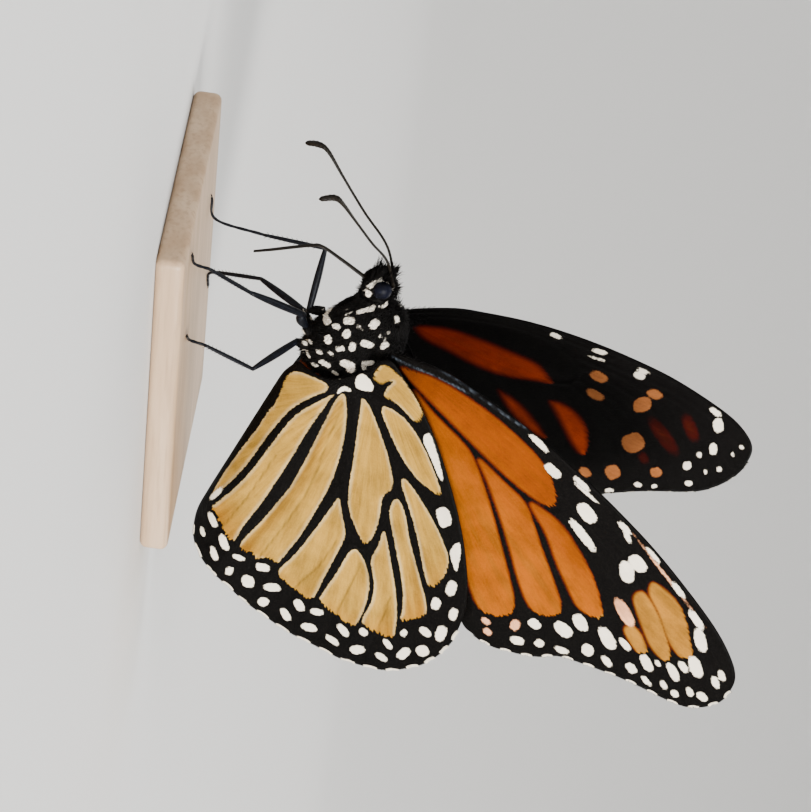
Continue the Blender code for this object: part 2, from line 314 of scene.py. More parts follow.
def ramp(tree, value, low, high, to_low=0.0, to_high=1.0):
    """The value stretched smoothly from low..high to to_low..to_high."""
    return node(tree, "ShaderNodeMapRange", {
        "Value": value, "From Min": low, "From Max": high, "To Min": to_low, "To Max": to_high},
        interpolation_type="SMOOTHSTEP").outputs["Result"]


def blend(tree, amount, first, second):
    """The first colour going over into the second one."""
    made = node(tree, "ShaderNodeMix", data_type="RGBA")
    for key, value in ((0, amount), (6, first), (7, second)):
        if isinstance(value, bpy.types.NodeSocket):
            tree.links.new(value, made.inputs[key])
        else:
            made.inputs[key].default_value = value if key == 0 else (*value, 1.0)
    return made.outputs[2]


def noise(tree, where, scale, detail):
    """Soft cloudy noise over a place in the piece."""
    return node(tree, "ShaderNodeTexNoise", {"Vector": where, "Scale": scale, "Detail": detail}).outputs[0]


def speckle(tree, scale, detail=2.0, stretch=None):
    """Fine soft noise, this many to a millimetre."""
    where = node(tree, "ShaderNodeTexCoord").outputs["Object"]
    if stretch:
        where = node(tree, "ShaderNodeMapping", {"Vector": where, "Scale": stretch}).outputs[0]
    return noise(tree, where, scale / MM, detail)


def small_cells(tree, scale):
    """Small uneven cells, this many to a millimetre."""
    where = node(tree, "ShaderNodeTexCoord").outputs["Object"]
    return node(tree, "ShaderNodeTexVoronoi", {"Vector": where, "Scale": scale / MM}).outputs


def new_group(name, takes, gives):
    """An empty node group with its sockets, each a name with its kind, Float or Color."""
    tree = bpy.data.node_groups.new(name, "ShaderNodeTree")
    for listed, way in ((takes, "INPUT"), (gives, "OUTPUT")):
        for label, kind in listed.items():
            tree.interface.new_socket(label, in_out=way, socket_type="NodeSocket" + kind)
    return tree, tree.nodes.new("NodeGroupInput"), tree.nodes.new("NodeGroupOutput")


def new_material(name, colour, roughness, **more):
    """A plain finish; its shader node comes back too, for what is to be linked into it."""
    material = bpy.data.materials.new(name)
    material.use_nodes = True
    shader = material.node_tree.nodes["Principled BSDF"]
    shader.inputs["Base Color"].default_value = (*colour, 1.0)
    shader.inputs["Roughness"].default_value = roughness
    for label, value in more.items():
        shader.inputs[label.replace("_", " ")].default_value = value
    return material, shader


def link_shader(shader, colour, roughness=None, height=None, bump=(0.0, 0.0)):
    """Links what was made to the shader; bump is the strength and the height in millimetres."""
    tree = shader.id_data
    tree.links.new(colour, shader.inputs["Base Color"])
    if roughness:
        tree.links.new(roughness, shader.inputs["Roughness"])
    if height:
        strength, rise = bump
        bumps = node(tree, "ShaderNodeBump", {"Height": height, "Strength": strength, "Distance": rise * MM})
        tree.links.new(bumps.outputs["Normal"], shader.inputs["Normal"])


def ragged_group():
    """A mark's edge as the scales make it: torn by a tenth of a millimetre, and as soft as asked."""
    tree, given, result = new_group("ragged edge", {"Depth": "Float", "Softness": "Float"},
                                    {"Mask": "Float"})
    torn = maths(tree, "ADD",
                 maths(tree, "MULTIPLY_ADD", small_cells(tree, SCALES_PER_MM)["Color"], 0.13, -0.065),
                 maths(tree, "MULTIPLY_ADD", speckle(tree, 2.2), 0.16, -0.08))
    depth = maths(tree, "ADD", given.outputs["Depth"], torn)
    softness = given.outputs["Softness"]
    mask = ramp(tree, depth, maths(tree, "MULTIPLY", softness, -1.0), softness)
    tree.links.new(mask, result.inputs["Mask"])
    return tree


def ragged_mask(tree, ragged, depth, softness):
    """How far a mark covers each place, from the depth inside it."""
    made = node(tree, "ShaderNodeGroup", {"Depth": depth, "Softness": softness}, node_tree=ragged)
    return made.outputs["Mask"]


def wing_group(ragged):
    """Coloured cells in black, then the spots; the scales' fine rows give the bumps."""
    colours = ("Near", "Far", "Tip", "Rim", "Spot", "Warm Spot", "Black")
    numbers = ("Rim Width", "Softness", "Growth")
    tree, given, result = new_group(
        "wing scales", {**dict.fromkeys(colours, "Color"), **dict.fromkeys(numbers, "Float")},
        {"Color": "Color", "Roughness": "Float", "Height": "Float"})
    take = given.outputs

    def added(first, *others):
        for other in others:
            first = maths(tree, "ADD", first, other)
        return first

    fan = node(tree, "ShaderNodeCombineXYZ", {
        "X": value_of(tree, "ray"), "Y": maths(tree, "MULTIPLY", value_of(tree, "reach"), 0.09)}).outputs[0]
    streak, rows = noise(tree, fan, 1.5, 3.0), noise(tree, fan, 7.0, 2.0)
    grain, cloud = speckle(tree, 5.0, 3.0), speckle(tree, 0.3, 3.0)

    teeth = maths(tree, "MULTIPLY", value_of(tree, "end"), ramp(tree, rows, 0.35, 0.65, -0.32, 0.12))
    cell = added(value_of(tree, "cell"), teeth, take["Growth"])
    tone = added(value_of(tree, "tone"), ramp(tree, streak, 0.3, 0.7, -0.16, 0.16))
    ground = blend(tree, tone, take["Near"], take["Far"])
    ground = blend(tree, maths(tree, "SUBTRACT", tone, 1.0), ground, take["Tip"])
    # the pale or dark rim runs along the veins, and not across the cells' outer ends
    along_vein = maths(tree, "MULTIPLY_ADD", value_of(tree, "end"), 0.6, cell)
    ground = blend(tree, ramp(tree, along_vein, 0.0, take["Rim Width"]), take["Rim"], ground)
    shade = added(ramp(tree, grain, 0.3, 0.7, 0.92, 1.05), ramp(tree, cloud, 0.35, 0.65, -0.16, 0.08),
                  ramp(tree, rows, 0.35, 0.65, -0.06, 0.05), ramp(tree, streak, 0.35, 0.65, 0.09, -0.12))
    # painted shade: the colour darkens to 0.55 where the piece marks it, along the creases, the hind wing's
    # fold and the fore wing's root
    shade = maths(tree, "MULTIPLY", shade, ramp(tree, value_of(tree, "painted_shade"), 0.0, 1.0, 1.0, 0.55))
    black = scaled(tree, take["Black"], ramp(tree, grain, 0.35, 0.7, 0.7, 1.6))
    # painted highlight: a pale bluish line, broken by noise, over the black along the fore wing's front
    # veins
    broken = ramp(tree, speckle(tree, 1.2), 0.4, 0.6, 0.15, 1.0)
    glint = maths(tree, "MULTIPLY", value_of(tree, "glint"), broken)
    black = blend(tree, glint, black, (0.05, 0.06, 0.075))
    coloured = ragged_mask(tree, ragged, cell, take["Softness"])
    colour = blend(tree, coloured, black, scaled(tree, ground, shade))
    warm = ragged_mask(tree, ragged, value_of(tree, "warm"), 0.1)
    colour = blend(tree, warm, colour, scaled(tree, take["Warm Spot"], shade))
    spot = ragged_mask(tree, ragged, maths(tree, "SUBTRACT", value_of(tree, "spot"), 0.035), 0.05)
    white = scaled(tree, take["Spot"], ramp(tree, cloud, 0.35, 0.65, 0.93, 1.04))
    tree.links.new(blend(tree, spot, colour, white), result.inputs["Color"])
    rough = added(ramp(tree, coloured, 0.0, 1.0, 0.48, 0.6), maths(tree, "MULTIPLY", spot, 0.1))
    tree.links.new(rough, result.inputs["Roughness"])
    height = added(grain, maths(tree, "MULTIPLY", spot, 0.5), small_cells(tree, SCALES_PER_MM)["Distance"])
    tree.links.new(height, result.inputs["Height"])
    return tree


def wing_material(name, group, numbers, **colours):
    """One face of a wing; the numbers are the rim's width, the edges' softness and the cells' growth."""
    material, shader = new_material(name, colours["Near"], 0.6, Specular_IOR_Level=0.025)
    scales = node(material.node_tree, "ShaderNodeGroup", node_tree=group)
    for label, colour in dict(colours, Spot=WHITE, Black=BLACK).items():
        scales.inputs[label.replace("_", " ")].default_value = (*colour, 1.0)
    for label, number in zip(("Rim Width", "Softness", "Growth"), numbers):
        scales.inputs[label].default_value = number
    link_shader(shader, scales.outputs["Color"], scales.outputs["Roughness"], scales.outputs["Height"],
                bump=(0.5, 0.04))
    return material


def two_tone_material(name, ragged, dark, light, softness):
    """Dark, with a lighter second colour where the piece's whiteness rises above nought."""
    material, shader = new_material(name, dark, 0.6, Specular_IOR_Level=0.07)
    tree = material.node_tree
    mask = ragged_mask(tree, ragged, value_of(tree, "white"), softness)
    tone = blend(tree, mask, dark, light)
    link_shader(shader, scaled(tree, tone, ramp(tree, speckle(tree, 6.0), 0.3, 0.7, 0.85, 1.1)))
    return material


def wood_material():
    """Pale sanded wood with fine grain along its length."""
    material, shader = new_material("pale wood", (0.46, 0.31, 0.19), 0.45)
    tree = material.node_tree
    rings = speckle(tree, 0.35, 4.0, stretch=(0.12, 1.0, 1.4))
    fibres = speckle(tree, 2.2, 3.0, stretch=(0.05, 1.0, 1.0))
    tone = blend(tree, ramp(tree, rings, 0.3, 0.7), (0.40, 0.26, 0.15), (0.52, 0.37, 0.24))
    tone = blend(tree, ramp(tree, fibres, 0.45, 0.75, 0.0, 0.45), tone, (0.28, 0.17, 0.09))
    link_shader(shader, tone, height=fibres, bump=(0.25, 0.05))
    return material


def horny_material(name, dark, worn):
    """The legs', feelers' or tongue's smooth black skin, a little worn."""
    material, shader = new_material(name, dark, 0.35, Specular_IOR_Level=0.1)
    tree = material.node_tree
    grain = speckle(tree, 4.0, 3.0)
    tone = blend(tree, ramp(tree, grain, 0.35, 0.75), dark, worn)
    link_shader(shader, tone, ramp(tree, grain, 0.3, 0.7, 0.3, 0.45), grain, bump=(0.3, 0.03))
    return material


def eye_material():
    """Smooth and nearly black, with the fine facets just showing."""
    dark, light = (0.0012, 0.0012, 0.0025), (0.003, 0.0035, 0.008)
    material, shader = new_material("eye", (0.002, 0.002, 0.004), 0.42, Specular_IOR_Level=0.05)
    tree = material.node_tree
    tone = blend(tree, ramp(tree, speckle(tree, 0.9), 0.35, 0.7), dark, light)
    link_shader(shader, tone, height=small_cells(tree, 14.0)["Distance"], bump=(0.25, 0.02))
    return material


# ---------------------------------------------------------------- wings

MEMBRANE = 0.08                 # half the thickness between the veins
VEIN_RISE, VEIN_WIDTH = 0.07, 0.22
FRONT_RISE, FRONT_WIDTH = 0.14, 0.35    # the thick veins of the fore wing's front edge
SAG_DEPTH, SAG_REACH = 0.05, 2.4        # how the membrane sinks away from the veins
CREASE_DEPTH, CREASE_WIDTH = 0.10, 0.4
FAN_ROOT = np.array((-3.0, 0.0))        # where the rows of scales fan out from
LOOK_OUT = 0.3                  # how far beyond a point to look for the outer end of its cell
GRID = 0.26
EDGE_STEP = 0.075               # between the scales of the fringe

FORE_OPENING, FORE_SWEEP = math.radians(17.0), math.radians(19.0)
HIND_OPENING = math.radians(20.0)
FORE_HINGE = (0.0, 3.15, 0.0)
HIND_HINGE = {1: (6.1, 3.9, 0.2), -1: (5.5, 3.7, -0.7)}
# Below this height, which falls toward the tail, the hind wing curls in with this radius
TUCK_START, TUCK_FALL, TUCK_RADIUS = -3.0, 0.085, 6.2

# Along the fore wing toward its tip, and across it toward the front edge
FORE_OUTLINE = [
    (0.5, 0.4), (5.0, 3.0), (9.0, 4.1), (13.5, 5.0), (18.0, 5.5), (23.0, 5.7), (28.5, 5.6), (34.0, 5.2),
    (40.0, 4.2), (45.0, 3.0), (48.5, 1.5), (50.5, 0.0), (51.5, -2.0), (51.8, -4.3), (51.2, -6.5),
    (50.0, -8.2), (48.0, -9.4), (45.5, -10.5), (43.5, -11.5), (41.5, -12.7), (39.5, -14.0),
    (37.5, -15.5), (36.0, -18.0), (34.0, -20.0), (32.0, -21.5), (30.0, -22.0), (27.5, -21.5),
    (20.0, -16.0), (12.0, -10.0), (5.0, -4.5), (1.5, -2.2), (0.4, -1.0)]
# Back from the hind wing's hinge, and up the wing from it
HIND_OUTLINE = [
    (-3.4, -0.8), (-4.7, -0.1), (-5.1, 0.9), (-4.5, 2.0), (-2.4, 4.8), (0.7, 8.1), (5.5, 12.0),
    (11.5, 16.0), (17.5, 18.9), (22.0, 20.0), (26.5, 20.0), (30.5, 18.8), (33.0, 17.2), (35.0, 15.4),
    (36.3, 13.2), (37.5, 10.0), (37.9, 6.8), (38.3, 3.5), (38.0, 0.5), (37.0, -2.3), (35.6, -4.5),
    (34.1, -7.0), (32.7, -9.3), (31.2, -11.0), (28.8, -12.0), (25.5, -11.9), (18.0, -11.1),
    (11.5, -10.4), (7.0, -9.9), (4.4, -9.55), (2.6, -8.9), (1.3, -8.2), (1.1, -7.0), (0.8, -5.0),
    (0.2, -3.6), (-1.6, -1.7)]

# Each wing's outline, where its white-dashed fringe starts and stops, and the dashes' period and share
MARGINS = {"fore": (FORE_OUTLINE, (51.5, -2.0), (30.0, -22.0), 2.45, 0.5),
           "hind": (HIND_OUTLINE, (24.0, 20.0), (30.5, -11.5), 2.75, 0.6)}

# Where the hair over each wing's root has its middle, and how far from there it grows
ROOT_HAIR = {"fore": ((0.5, 0.0), 3.6), "hind": ((-1.2, -2.2), 4.4)}

# Each vein from its root to the margin
FORE_VEINS = [
    [(0.8, 0.2), (5.0, 2.2), (10.0, 3.7), (15.0, 4.4), (20.0, 4.7), (26.0, 4.6)],
    [(1.0, -0.6), (6.0, -1.4), (12.0, -1.8), (18.0, -1.9), (22.0, -1.6), (24.2, -0.8)],
    [(2.0, 0.1), (6.0, 2.0), (12.0, 3.6), (18.0, 3.8), (23.0, 2.0), (24.4, 0.2), (24.2, -0.8)],
    [(14.0, -2.2), (18.0, -4.8), (24.0, -9.2), (29.5, -13.7), (33.5, -18.5)],
    [(21.3, -1.8), (25.0, -4.2), (31.0, -8.2), (35.0, -12.0), (37.5, -15.0)],
    [(24.2, -0.8), (29.0, -2.3), (34.0, -4.9), (38.0, -8.5), (42.0, -12.2)],
    [(24.4, 0.2), (31.0, -0.9), (38.0, -4.2), (42.5, -7.6), (46.0, -10.0)],
    [(23.5, 2.0), (30.0, 1.2), (36.5, -0.4), (42.0, -3.7), (48.5, -8.3)],
    [(22.0, 3.0), (30.0, 2.6), (36.5, 0.9), (43.0, -2.2), (50.5, -6.5)],
    [(30.0, 2.6), (38.0, 2.2), (44.0, -0.2), (51.0, -3.6)],
    [(26.0, 3.7), (36.0, 3.4), (43.0, 1.9), (49.5, -0.4)],
    [(1.0, -1.0), (6.0, -4.0), (13.0, -8.4), (21.0, -14.0), (28.0, -19.5)]]
HIND_VEINS = [
    [(0.5, 1.4), (0.2, 3.0), (0.4, 4.6), (1.1, 6.1), (3.0, 8.3), (6.5, 11.3), (10.5, 14.2), (15.0, 17.0)],
    [(1.0, 0.8), (3.0, 2.4), (5.0, 4.1), (7.0, 6.0), (8.2, 7.2), (9.0, 9.6), (11.0, 12.8), (15.0, 16.2)],
    [(8.2, 7.2), (12.5, 6.9), (16.0, 7.6), (20.5, 7.2), (20.8, 5.8)],
    [(10.3, 7.5), (12.5, 9.0), (15.0, 10.8), (18.0, 12.7), (23.5, 16.2), (27.5, 19.3)],
    [(14.3, 7.3), (17.0, 8.9), (20.0, 10.7), (23.0, 12.4), (28.0, 14.3), (34.0, 16.0)],
    [(20.5, 7.2), (22.0, 7.9), (24.0, 9.3), (26.5, 10.0), (30.5, 10.3), (37.0, 10.5)],
    [(20.8, 5.8), (22.5, 5.2), (26.0, 5.0), (31.0, 4.9), (38.0, 4.0)],
    [(1.5, -1.0), (6.0, 0.2), (10.0, 1.1), (14.0, 2.0), (17.0, 3.5), (19.5, 5.1), (20.8, 5.8)],
    [(14.0, 1.7), (17.0, 1.3), (20.0, 0.9), (25.0, 0.3), (30.0, -0.6), (37.0, -1.8)],
    [(2.0, -2.6), (5.0, -3.1), (11.0, -3.4), (17.0, -3.9), (20.0, -4.3), (25.0, -5.1), (29.0, -6.0),
     (34.0, -7.0)],
    [(2.0, -3.3), (4.5, -5.0), (8.0, -6.3), (13.0, -7.2), (18.0, -8.1), (22.0, -9.0), (27.0, -10.5)]]
# Painted highlights: pale broken glints along the front veins of the fore wing's under side, standing for
# light caught on the shiny veins
FORE_GLINTS = [
    [(-0.4, -0.8), (1.3, 0.0), (3.7, 1.2), (6.0, 2.35), (8.2, 3.25)],
    [(3.6, 2.65), (6.4, 3.5), (10.9, 4.25), (13.0, 4.65), (15.0, 5.2)]]
HIND_CREASES = [
    [(3.0, -1.9), (10.0, -1.6), (16.0, -1.2), (22.0, -1.7), (29.5, -2.9), (36.0, -4.0)],
    [(22.0, 4.0), (27.0, 3.4), (31.5, 2.2), (37.0, 1.8)],
    [(23.0, 7.4), (28.0, 7.5), (32.0, 7.4), (37.0, 7.2)],
    [(25.0, 12.0), (31.0, 12.4), (36.0, 12.6)],
    [(14.0, -6.0), (22.0, -7.0), (31.0, -8.8)]]
# A broad soft band of painted shade along a fold, darker than the cell round it
HIND_FOLD_SHADE = [(3.5, -2.9), (8.5, -2.8), (14.3, -2.4), (19.6, -2.9), (24.0, -3.6), (29.0, -4.6)]

# The coloured cells that the black leaves, as closed loops
HIND_CELLS = [
    [(-3.6, -0.1), (-4.2, 0.3), (-4.25, 1.2), (-3.9, 2.3), (-3.3, 3.4), (-2.5, 4.6), (-1.3, 6.0),
     (-0.2, 6.3), (0.5, 5.9), (0.0, 4.5), (-0.4, 2.9), (-0.35, 1.8), (-1.3, 1.65), (-2.75, 2.0),
     (-2.4, 1.45), (-1.6, 0.9), (-1.75, 0.0), (-2.5, -0.25)],
    [(0.9, 2.4), (1.5, 2.2), (2.4, 2.7), (4.5, 4.7), (6.5, 7.0), (7.7, 9.3), (7.9, 11.2), (7.3, 11.7),
     (5.5, 10.3), (3.0, 7.9), (1.5, 5.9), (0.8, 4.2)],
    [(1.4, -0.2), (2.6, 0.0), (6.0, 0.8), (10.0, 1.8), (14.0, 2.7), (16.5, 3.6), (18.5, 5.1), (20.0, 6.8),
     (18.5, 7.3), (16.0, 7.1), (13.8, 6.6), (12.5, 6.4), (10.5, 6.8), (9.0, 6.2), (6.5, 4.6), (4.0, 2.6),
     (2.3, 1.1)],
    [(8.5, 7.5), (9.6, 7.7), (12.0, 9.6), (15.0, 11.7), (18.0, 13.5), (20.2, 15.0), (19.4, 15.9),
     (16.5, 16.0), (14.5, 15.2), (12.0, 12.8), (10.0, 10.3), (8.7, 8.4)],
    [(11.6, 8.0), (12.5, 7.6), (14.2, 7.9), (17.0, 9.5), (20.0, 11.3), (23.0, 12.9), (25.5, 13.8),
     (27.1, 14.2), (25.8, 15.4), (24.2, 16.2), (22.5, 15.6), (20.0, 13.9), (16.0, 11.1), (13.0, 9.4)],
    [(16.8, 8.1), (19.0, 8.3), (21.5, 8.3), (23.0, 9.0), (24.5, 9.8), (27.0, 10.4), (30.5, 10.5),
     (31.0, 12.0), (30.2, 14.1), (28.5, 14.0), (26.0, 13.2), (23.0, 11.8), (20.0, 10.1), (18.0, 9.0)],
    [(21.5, 6.5), (22.5, 5.8), (26.0, 5.6), (30.0, 5.2), (31.3, 5.4), (32.0, 7.5), (31.8, 9.8),
     (29.0, 10.0), (26.5, 9.7), (24.5, 9.1), (22.8, 8.1)],
    [(16.2, 2.2), (18.0, 1.9), (21.0, 1.5), (25.0, 0.9), (28.0, 0.3), (30.0, -0.3), (31.2, 0.1),
     (32.0, 2.0), (31.7, 4.3), (28.0, 4.5), (24.0, 4.6), (20.5, 4.5), (18.0, 3.2)],
    [(1.8, -2.2), (2.7, -2.7), (6.0, -2.8), (12.0, -2.9), (17.0, -3.1), (20.0, -3.6), (24.0, -4.4),
     (28.0, -5.4), (29.2, -5.0), (29.4, -3.6), (30.1, -3.0), (29.2, -2.2), (29.3, -0.9), (27.0, -0.4),
     (24.0, 0.1), (20.0, 0.4), (16.0, 0.6), (13.0, 0.5), (9.0, 0.0), (5.0, -0.9), (3.0, -1.6)],
    [(2.3, -3.2), (3.5, -3.4), (8.0, -4.0), (13.0, -4.4), (18.0, -4.9), (22.0, -5.4), (25.5, -6.0),
     (28.2, -6.3), (27.8, -7.6), (26.8, -8.9), (26.2, -10.0), (25.0, -9.7), (22.0, -8.7), (18.0, -7.7),
     (13.0, -6.9), (8.0, -6.0), (5.0, -4.8)],
    [(1.3, -4.4), (2.2, -4.1), (4.0, -5.2), (7.0, -6.6), (12.0, -7.7), (17.0, -8.4), (21.0, -9.3),
     (24.0, -10.3), (25.8, -10.9), (22.5, -10.8), (18.0, -10.2), (13.0, -9.3), (9.5, -8.9), (8.5, -8.6),
     (6.5, -8.6), (4.0, -8.7), (2.5, -7.8), (1.6, -6.2)]]
FORE_CELLS_UNDER = [
    [(2.0, -0.8), (3.0, 0.2), (5.0, 1.5), (8.0, 2.5), (12.0, 3.3), (16.0, 3.5), (19.0, 3.2), (21.5, 2.0),
     (23.2, 0.5), (23.0, -0.5), (21.0, -1.2), (17.0, -1.5), (12.0, -1.4), (6.0, -1.1)],
    [(4.5, -2.0), (8.0, -2.3), (12.5, -2.5), (15.0, -3.5), (18.0, -5.4), (21.0, -7.5), (24.0, -9.7),
     (27.0, -12.0), (29.4, -14.0), (30.2, -15.8), (29.5, -17.5), (27.8, -18.2), (25.0, -16.6),
     (21.0, -13.4), (16.0, -9.6), (10.0, -5.6)],
    [(14.7, -2.5), (18.0, -2.5), (21.3, -2.6), (24.0, -4.1), (27.0, -6.0), (30.0, -7.8), (32.5, -9.5),
     (33.4, -10.8), (32.6, -12.6), (31.0, -13.0), (28.0, -11.3), (25.0, -9.1), (21.0, -6.3), (17.0, -3.8)],
    [(21.9, -2.0), (24.0, -1.3), (26.0, -1.3), (29.0, -2.2), (32.0, -3.5), (34.5, -5.1), (36.3, -6.7),
     (35.8, -7.7), (34.2, -8.2), (32.5, -7.5), (29.0, -5.7), (25.5, -3.6)],
    [(36.7, 1.7), (38.0, 2.2), (40.0, 2.0), (42.0, 1.0), (44.0, -0.6), (45.7, -2.1), (45.2, -3.0),
     (44.0, -3.0), (42.0, -2.1), (39.8, -0.7), (37.6, 0.3)],
    [(36.8, -0.3), (38.0, -0.4), (40.5, -1.4), (43.0, -3.1), (44.6, -4.6), (44.0, -5.2), (42.5, -5.1),
     (40.0, -3.8), (38.0, -2.6), (36.8, -1.5)],
    [(39.3, -4.8), (40.5, -4.9), (42.4, -6.0), (42.0, -6.8), (40.5, -6.6), (39.2, -5.9)]]
FORE_CELLS_UPPER = [
    [(2.8, -1.2), (5.0, 0.0), (8.0, 0.6), (12.0, 0.7), (16.0, 0.6), (19.0, 0.3), (21.5, -0.9), (22.3, -1.7),
     (20.0, -2.4), (16.0, -3.3), (12.0, -3.2), (8.0, -2.7), (5.0, -2.4)],
    [(17.5, -5.2), (19.0, -5.2), (22.0, -6.0), (25.0, -7.4), (27.6, -8.9), (26.5, -9.3), (24.0, -8.7),
     (20.5, -7.2)],
    [(23.8, -4.0), (26.0, -3.6), (29.0, -4.5), (31.5, -6.3), (33.4, -8.8), (32.9, -9.6), (31.0, -8.8),
     (28.5, -7.2), (26.0, -5.6)],
    [(10.0, -5.6), (13.0, -5.9), (17.0, -7.7), (22.0, -10.9), (27.0, -14.6), (26.4, -16.4), (22.0, -13.8),
     (15.0, -9.4), (11.5, -6.9)]]

# White patches too odd for an oval
HIND_PATCHES = [
    [(1.0, 7.6), (1.2, 8.2), (3.2, 9.8), (5.5, 11.3), (5.7, 10.9), (3.9, 9.2), (2.1, 7.5)],
    [(9.9, 12.1), (8.8, 13.1), (10.3, 14.2), (11.2, 13.95), (11.6, 13.3)],
    [(13.9, 15.4), (12.3, 15.8), (13.2, 16.45), (15.3, 17.0), (16.3, 17.0), (15.4, 16.2)],
    [(-0.6, -1.8), (-1.4, -1.75), (-1.9, -1.2), (-1.2, -0.1), (-0.4, 0.4), (0.2, -0.05), (0.4, -1.2)],
    [(2.1, -2.85), (1.2, -2.95), (0.6, -2.3), (0.9, -1.65), (1.25, -1.8), (1.35, -2.4)],
    [(-0.2, -4.2), (0.1, -4.2), (0.15, -3.6), (0.0, -3.2), (-0.2, -3.3)]]
# Spots: place, half length, half width, and turn in degrees
HIND_SPOTS = [
    (18.9, 17.4, 1.2, 0.6, 3), (22.1, 16.7, 0.9, 0.55, 5), (26.7, 17.1, 0.75, 0.65, 80),
    (28.6, 15.1, 0.6, 0.38, 0), (31.5, 14.1, 0.7, 0.5, 60), (31.9, 11.1, 0.6, 0.52, 0),
    (33.4, 9.0, 0.9, 0.6, 65), (33.1, 5.5, 0.85, 0.5, -55), (33.7, 3.4, 0.8, 0.65, 45),
    (33.3, -0.2, 1.0, 0.65, -60), (30.9, -2.1, 0.8, 0.62, -70), (30.6, -5.0, 0.75, 0.45, 80),
    (29.2, -7.2, 1.1, 0.55, 35), (27.5, -9.4, 0.95, 0.55, 50),
    (22.1, 18.9, 1.0, 0.5, 5), (25.6, 18.7, 1.25, 0.6, 3), (29.5, 17.8, 0.9, 0.7, -20),
    (31.4, 16.1, 1.15, 0.55, -15), (33.8, 14.1, 0.8, 0.52, 95), (34.8, 11.4, 1.0, 0.6, -40),
    (35.7, 8.4, 0.9, 0.52, 90), (35.9, 5.5, 1.0, 0.6, -60), (36.2, 2.5, 0.85, 0.62, 50),
    (36.0, -0.4, 0.8, 0.6, -15), (33.8, -2.9, 0.95, 0.75, 20), (33.1, -5.3, 0.75, 0.45, 5),
    (31.5, -7.6, 1.0, 0.45, 35), (30.0, -9.9, 0.6, 0.4, 45), (24.3, -10.4, 1.5, 0.35, -18)]
FORE_SPOTS_UNDER = [
    (17.2, 5.0, 1.4, 0.42, 0), (20.4, 3.5, 1.1, 0.65, 0), (23.4, 5.0, 1.2, 0.38, 0),
    (24.4, 4.5, 1.7, 0.25, 5), (26.3, 2.5, 1.4, 0.9, -15), (28.0, -0.2, 2.3, 0.62, -12),
    (30.0, 4.6, 1.0, 0.42, -5), (31.0, 4.0, 0.8, 0.33, -25), (34.2, 4.6, 1.2, 0.33, -8),
    (34.0, 2.3, 1.2, 0.9, -15), (34.1, 0.3, 1.5, 0.85, -45), (38.9, 3.5, 1.2, 0.38, -12),
    (42.7, 2.2, 1.4, 0.5, -15), (44.9, 0.5, 1.6, 0.7, -38), (49.5, -1.1, 0.8, 0.42, -40),
    (49.7, -2.4, 0.9, 0.42, -30), (47.1, -2.8, 1.5, 0.75, -35), (46.3, -4.0, 0.8, 0.48, -20),
    (46.2, -5.6, 1.3, 0.55, -25), (50.3, -5.3, 0.7, 0.55, -10), (49.1, -6.0, 0.7, 0.42, -35),
    (44.4, -6.2, 0.5, 0.33, -30), (43.7, -7.3, 1.2, 0.6, -25), (40.6, -7.5, 0.9, 0.5, -10),
    (46.8, -7.9, 0.65, 0.42, -30), (48.3, -7.7, 0.55, 0.45, -30), (38.9, -8.6, 1.6, 0.8, -25),
    (43.2, -9.4, 0.75, 0.62, -15), (45.3, -9.2, 0.8, 0.35, -10), (35.8, -9.7, 1.2, 0.8, -30),
    (35.3, -12.1, 1.15, 0.9, 0), (41.0, -11.1, 0.85, 0.48, -15), (38.8, -11.9, 0.9, 0.7, -60),
    (33.0, -14.5, 0.75, 0.7, 0), (37.1, -14.5, 0.85, 0.48, 35), (35.1, -16.1, 0.65, 0.52, 90),
    (33.4, -18.0, 0.85, 0.62, 45)]
FORE_WARM_UNDER = [
    (37.6, -4.15, 1.85, 0.75, -22), (37.0, 3.7, 3.9, 0.13, -11), (31.8, -16.5, 0.8, 0.5, -70),
    (29.6, -19.2, 0.5, 0.42, 0), (30.7, -20.2, 0.5, 0.45, 0)]
FORE_SPOTS_UPPER = [
    (17.7, 4.7, 0.9, 0.33, -5), (23.8, 4.9, 1.0, 0.38, 5), (24.3, 3.85, 1.2, 0.2, 5),
    (30.3, 4.6, 0.9, 0.33, -5), (30.4, 3.8, 0.9, 0.5, -10), (42.3, 3.0, 1.2, 0.38, -18),
    (44.1, 1.4, 1.3, 0.6, -42), (46.3, -2.0, 1.2, 0.45, -45), (49.1, -0.3, 0.5, 0.25, -35),
    (49.0, -1.7, 0.5, 0.2, -40), (45.5, -3.5, 0.65, 0.3, -35), (49.3, -4.4, 0.55, 0.3, -40),
    (48.2, -5.5, 0.5, 0.2, -40), (47.7, -7.9, 0.55, 0.42, -25), (44.4, -10.1, 0.42, 0.33, -30),
    (42.5, -10.7, 0.6, 0.38, -10), (40.2, -13.0, 0.6, 0.42, 0), (45.5, -5.6, 0.8, 0.52, -45),
    (37.6, -14.8, 0.5, 0.38, 30), (35.6, -17.2, 0.5, 0.38, 40), (33.4, -19.4, 0.5, 0.38, 40),
    (33.0, -15.4, 0.5, 0.4, 0), (31.4, -18.0, 0.45, 0.38, 0)]
FORE_WARM_UPPER = [
    (34.0, 2.2, 1.05, 0.6, -10), (33.9, 0.2, 1.25, 1.0, -50), (37.2, -5.3, 1.7, 1.2, -35),
    (38.4, -10.3, 1.3, 0.8, -35), (35.5, -11.7, 1.0, 0.5, -25), (43.0, -8.1, 0.9, 0.6, -30),
    (26.4, 1.6, 1.25, 0.62, -12), (28.0, -0.9, 1.3, 0.55, -12)]
# Dark russet ovals near the tip
FORE_FAINT_UPPER = [
    (39.7, -2.9, 3.3, 0.7, -27), (41.5, -0.4, 2.2, 0.6, -35), (40.0, -6.8, 0.9, 0.4, -30)]


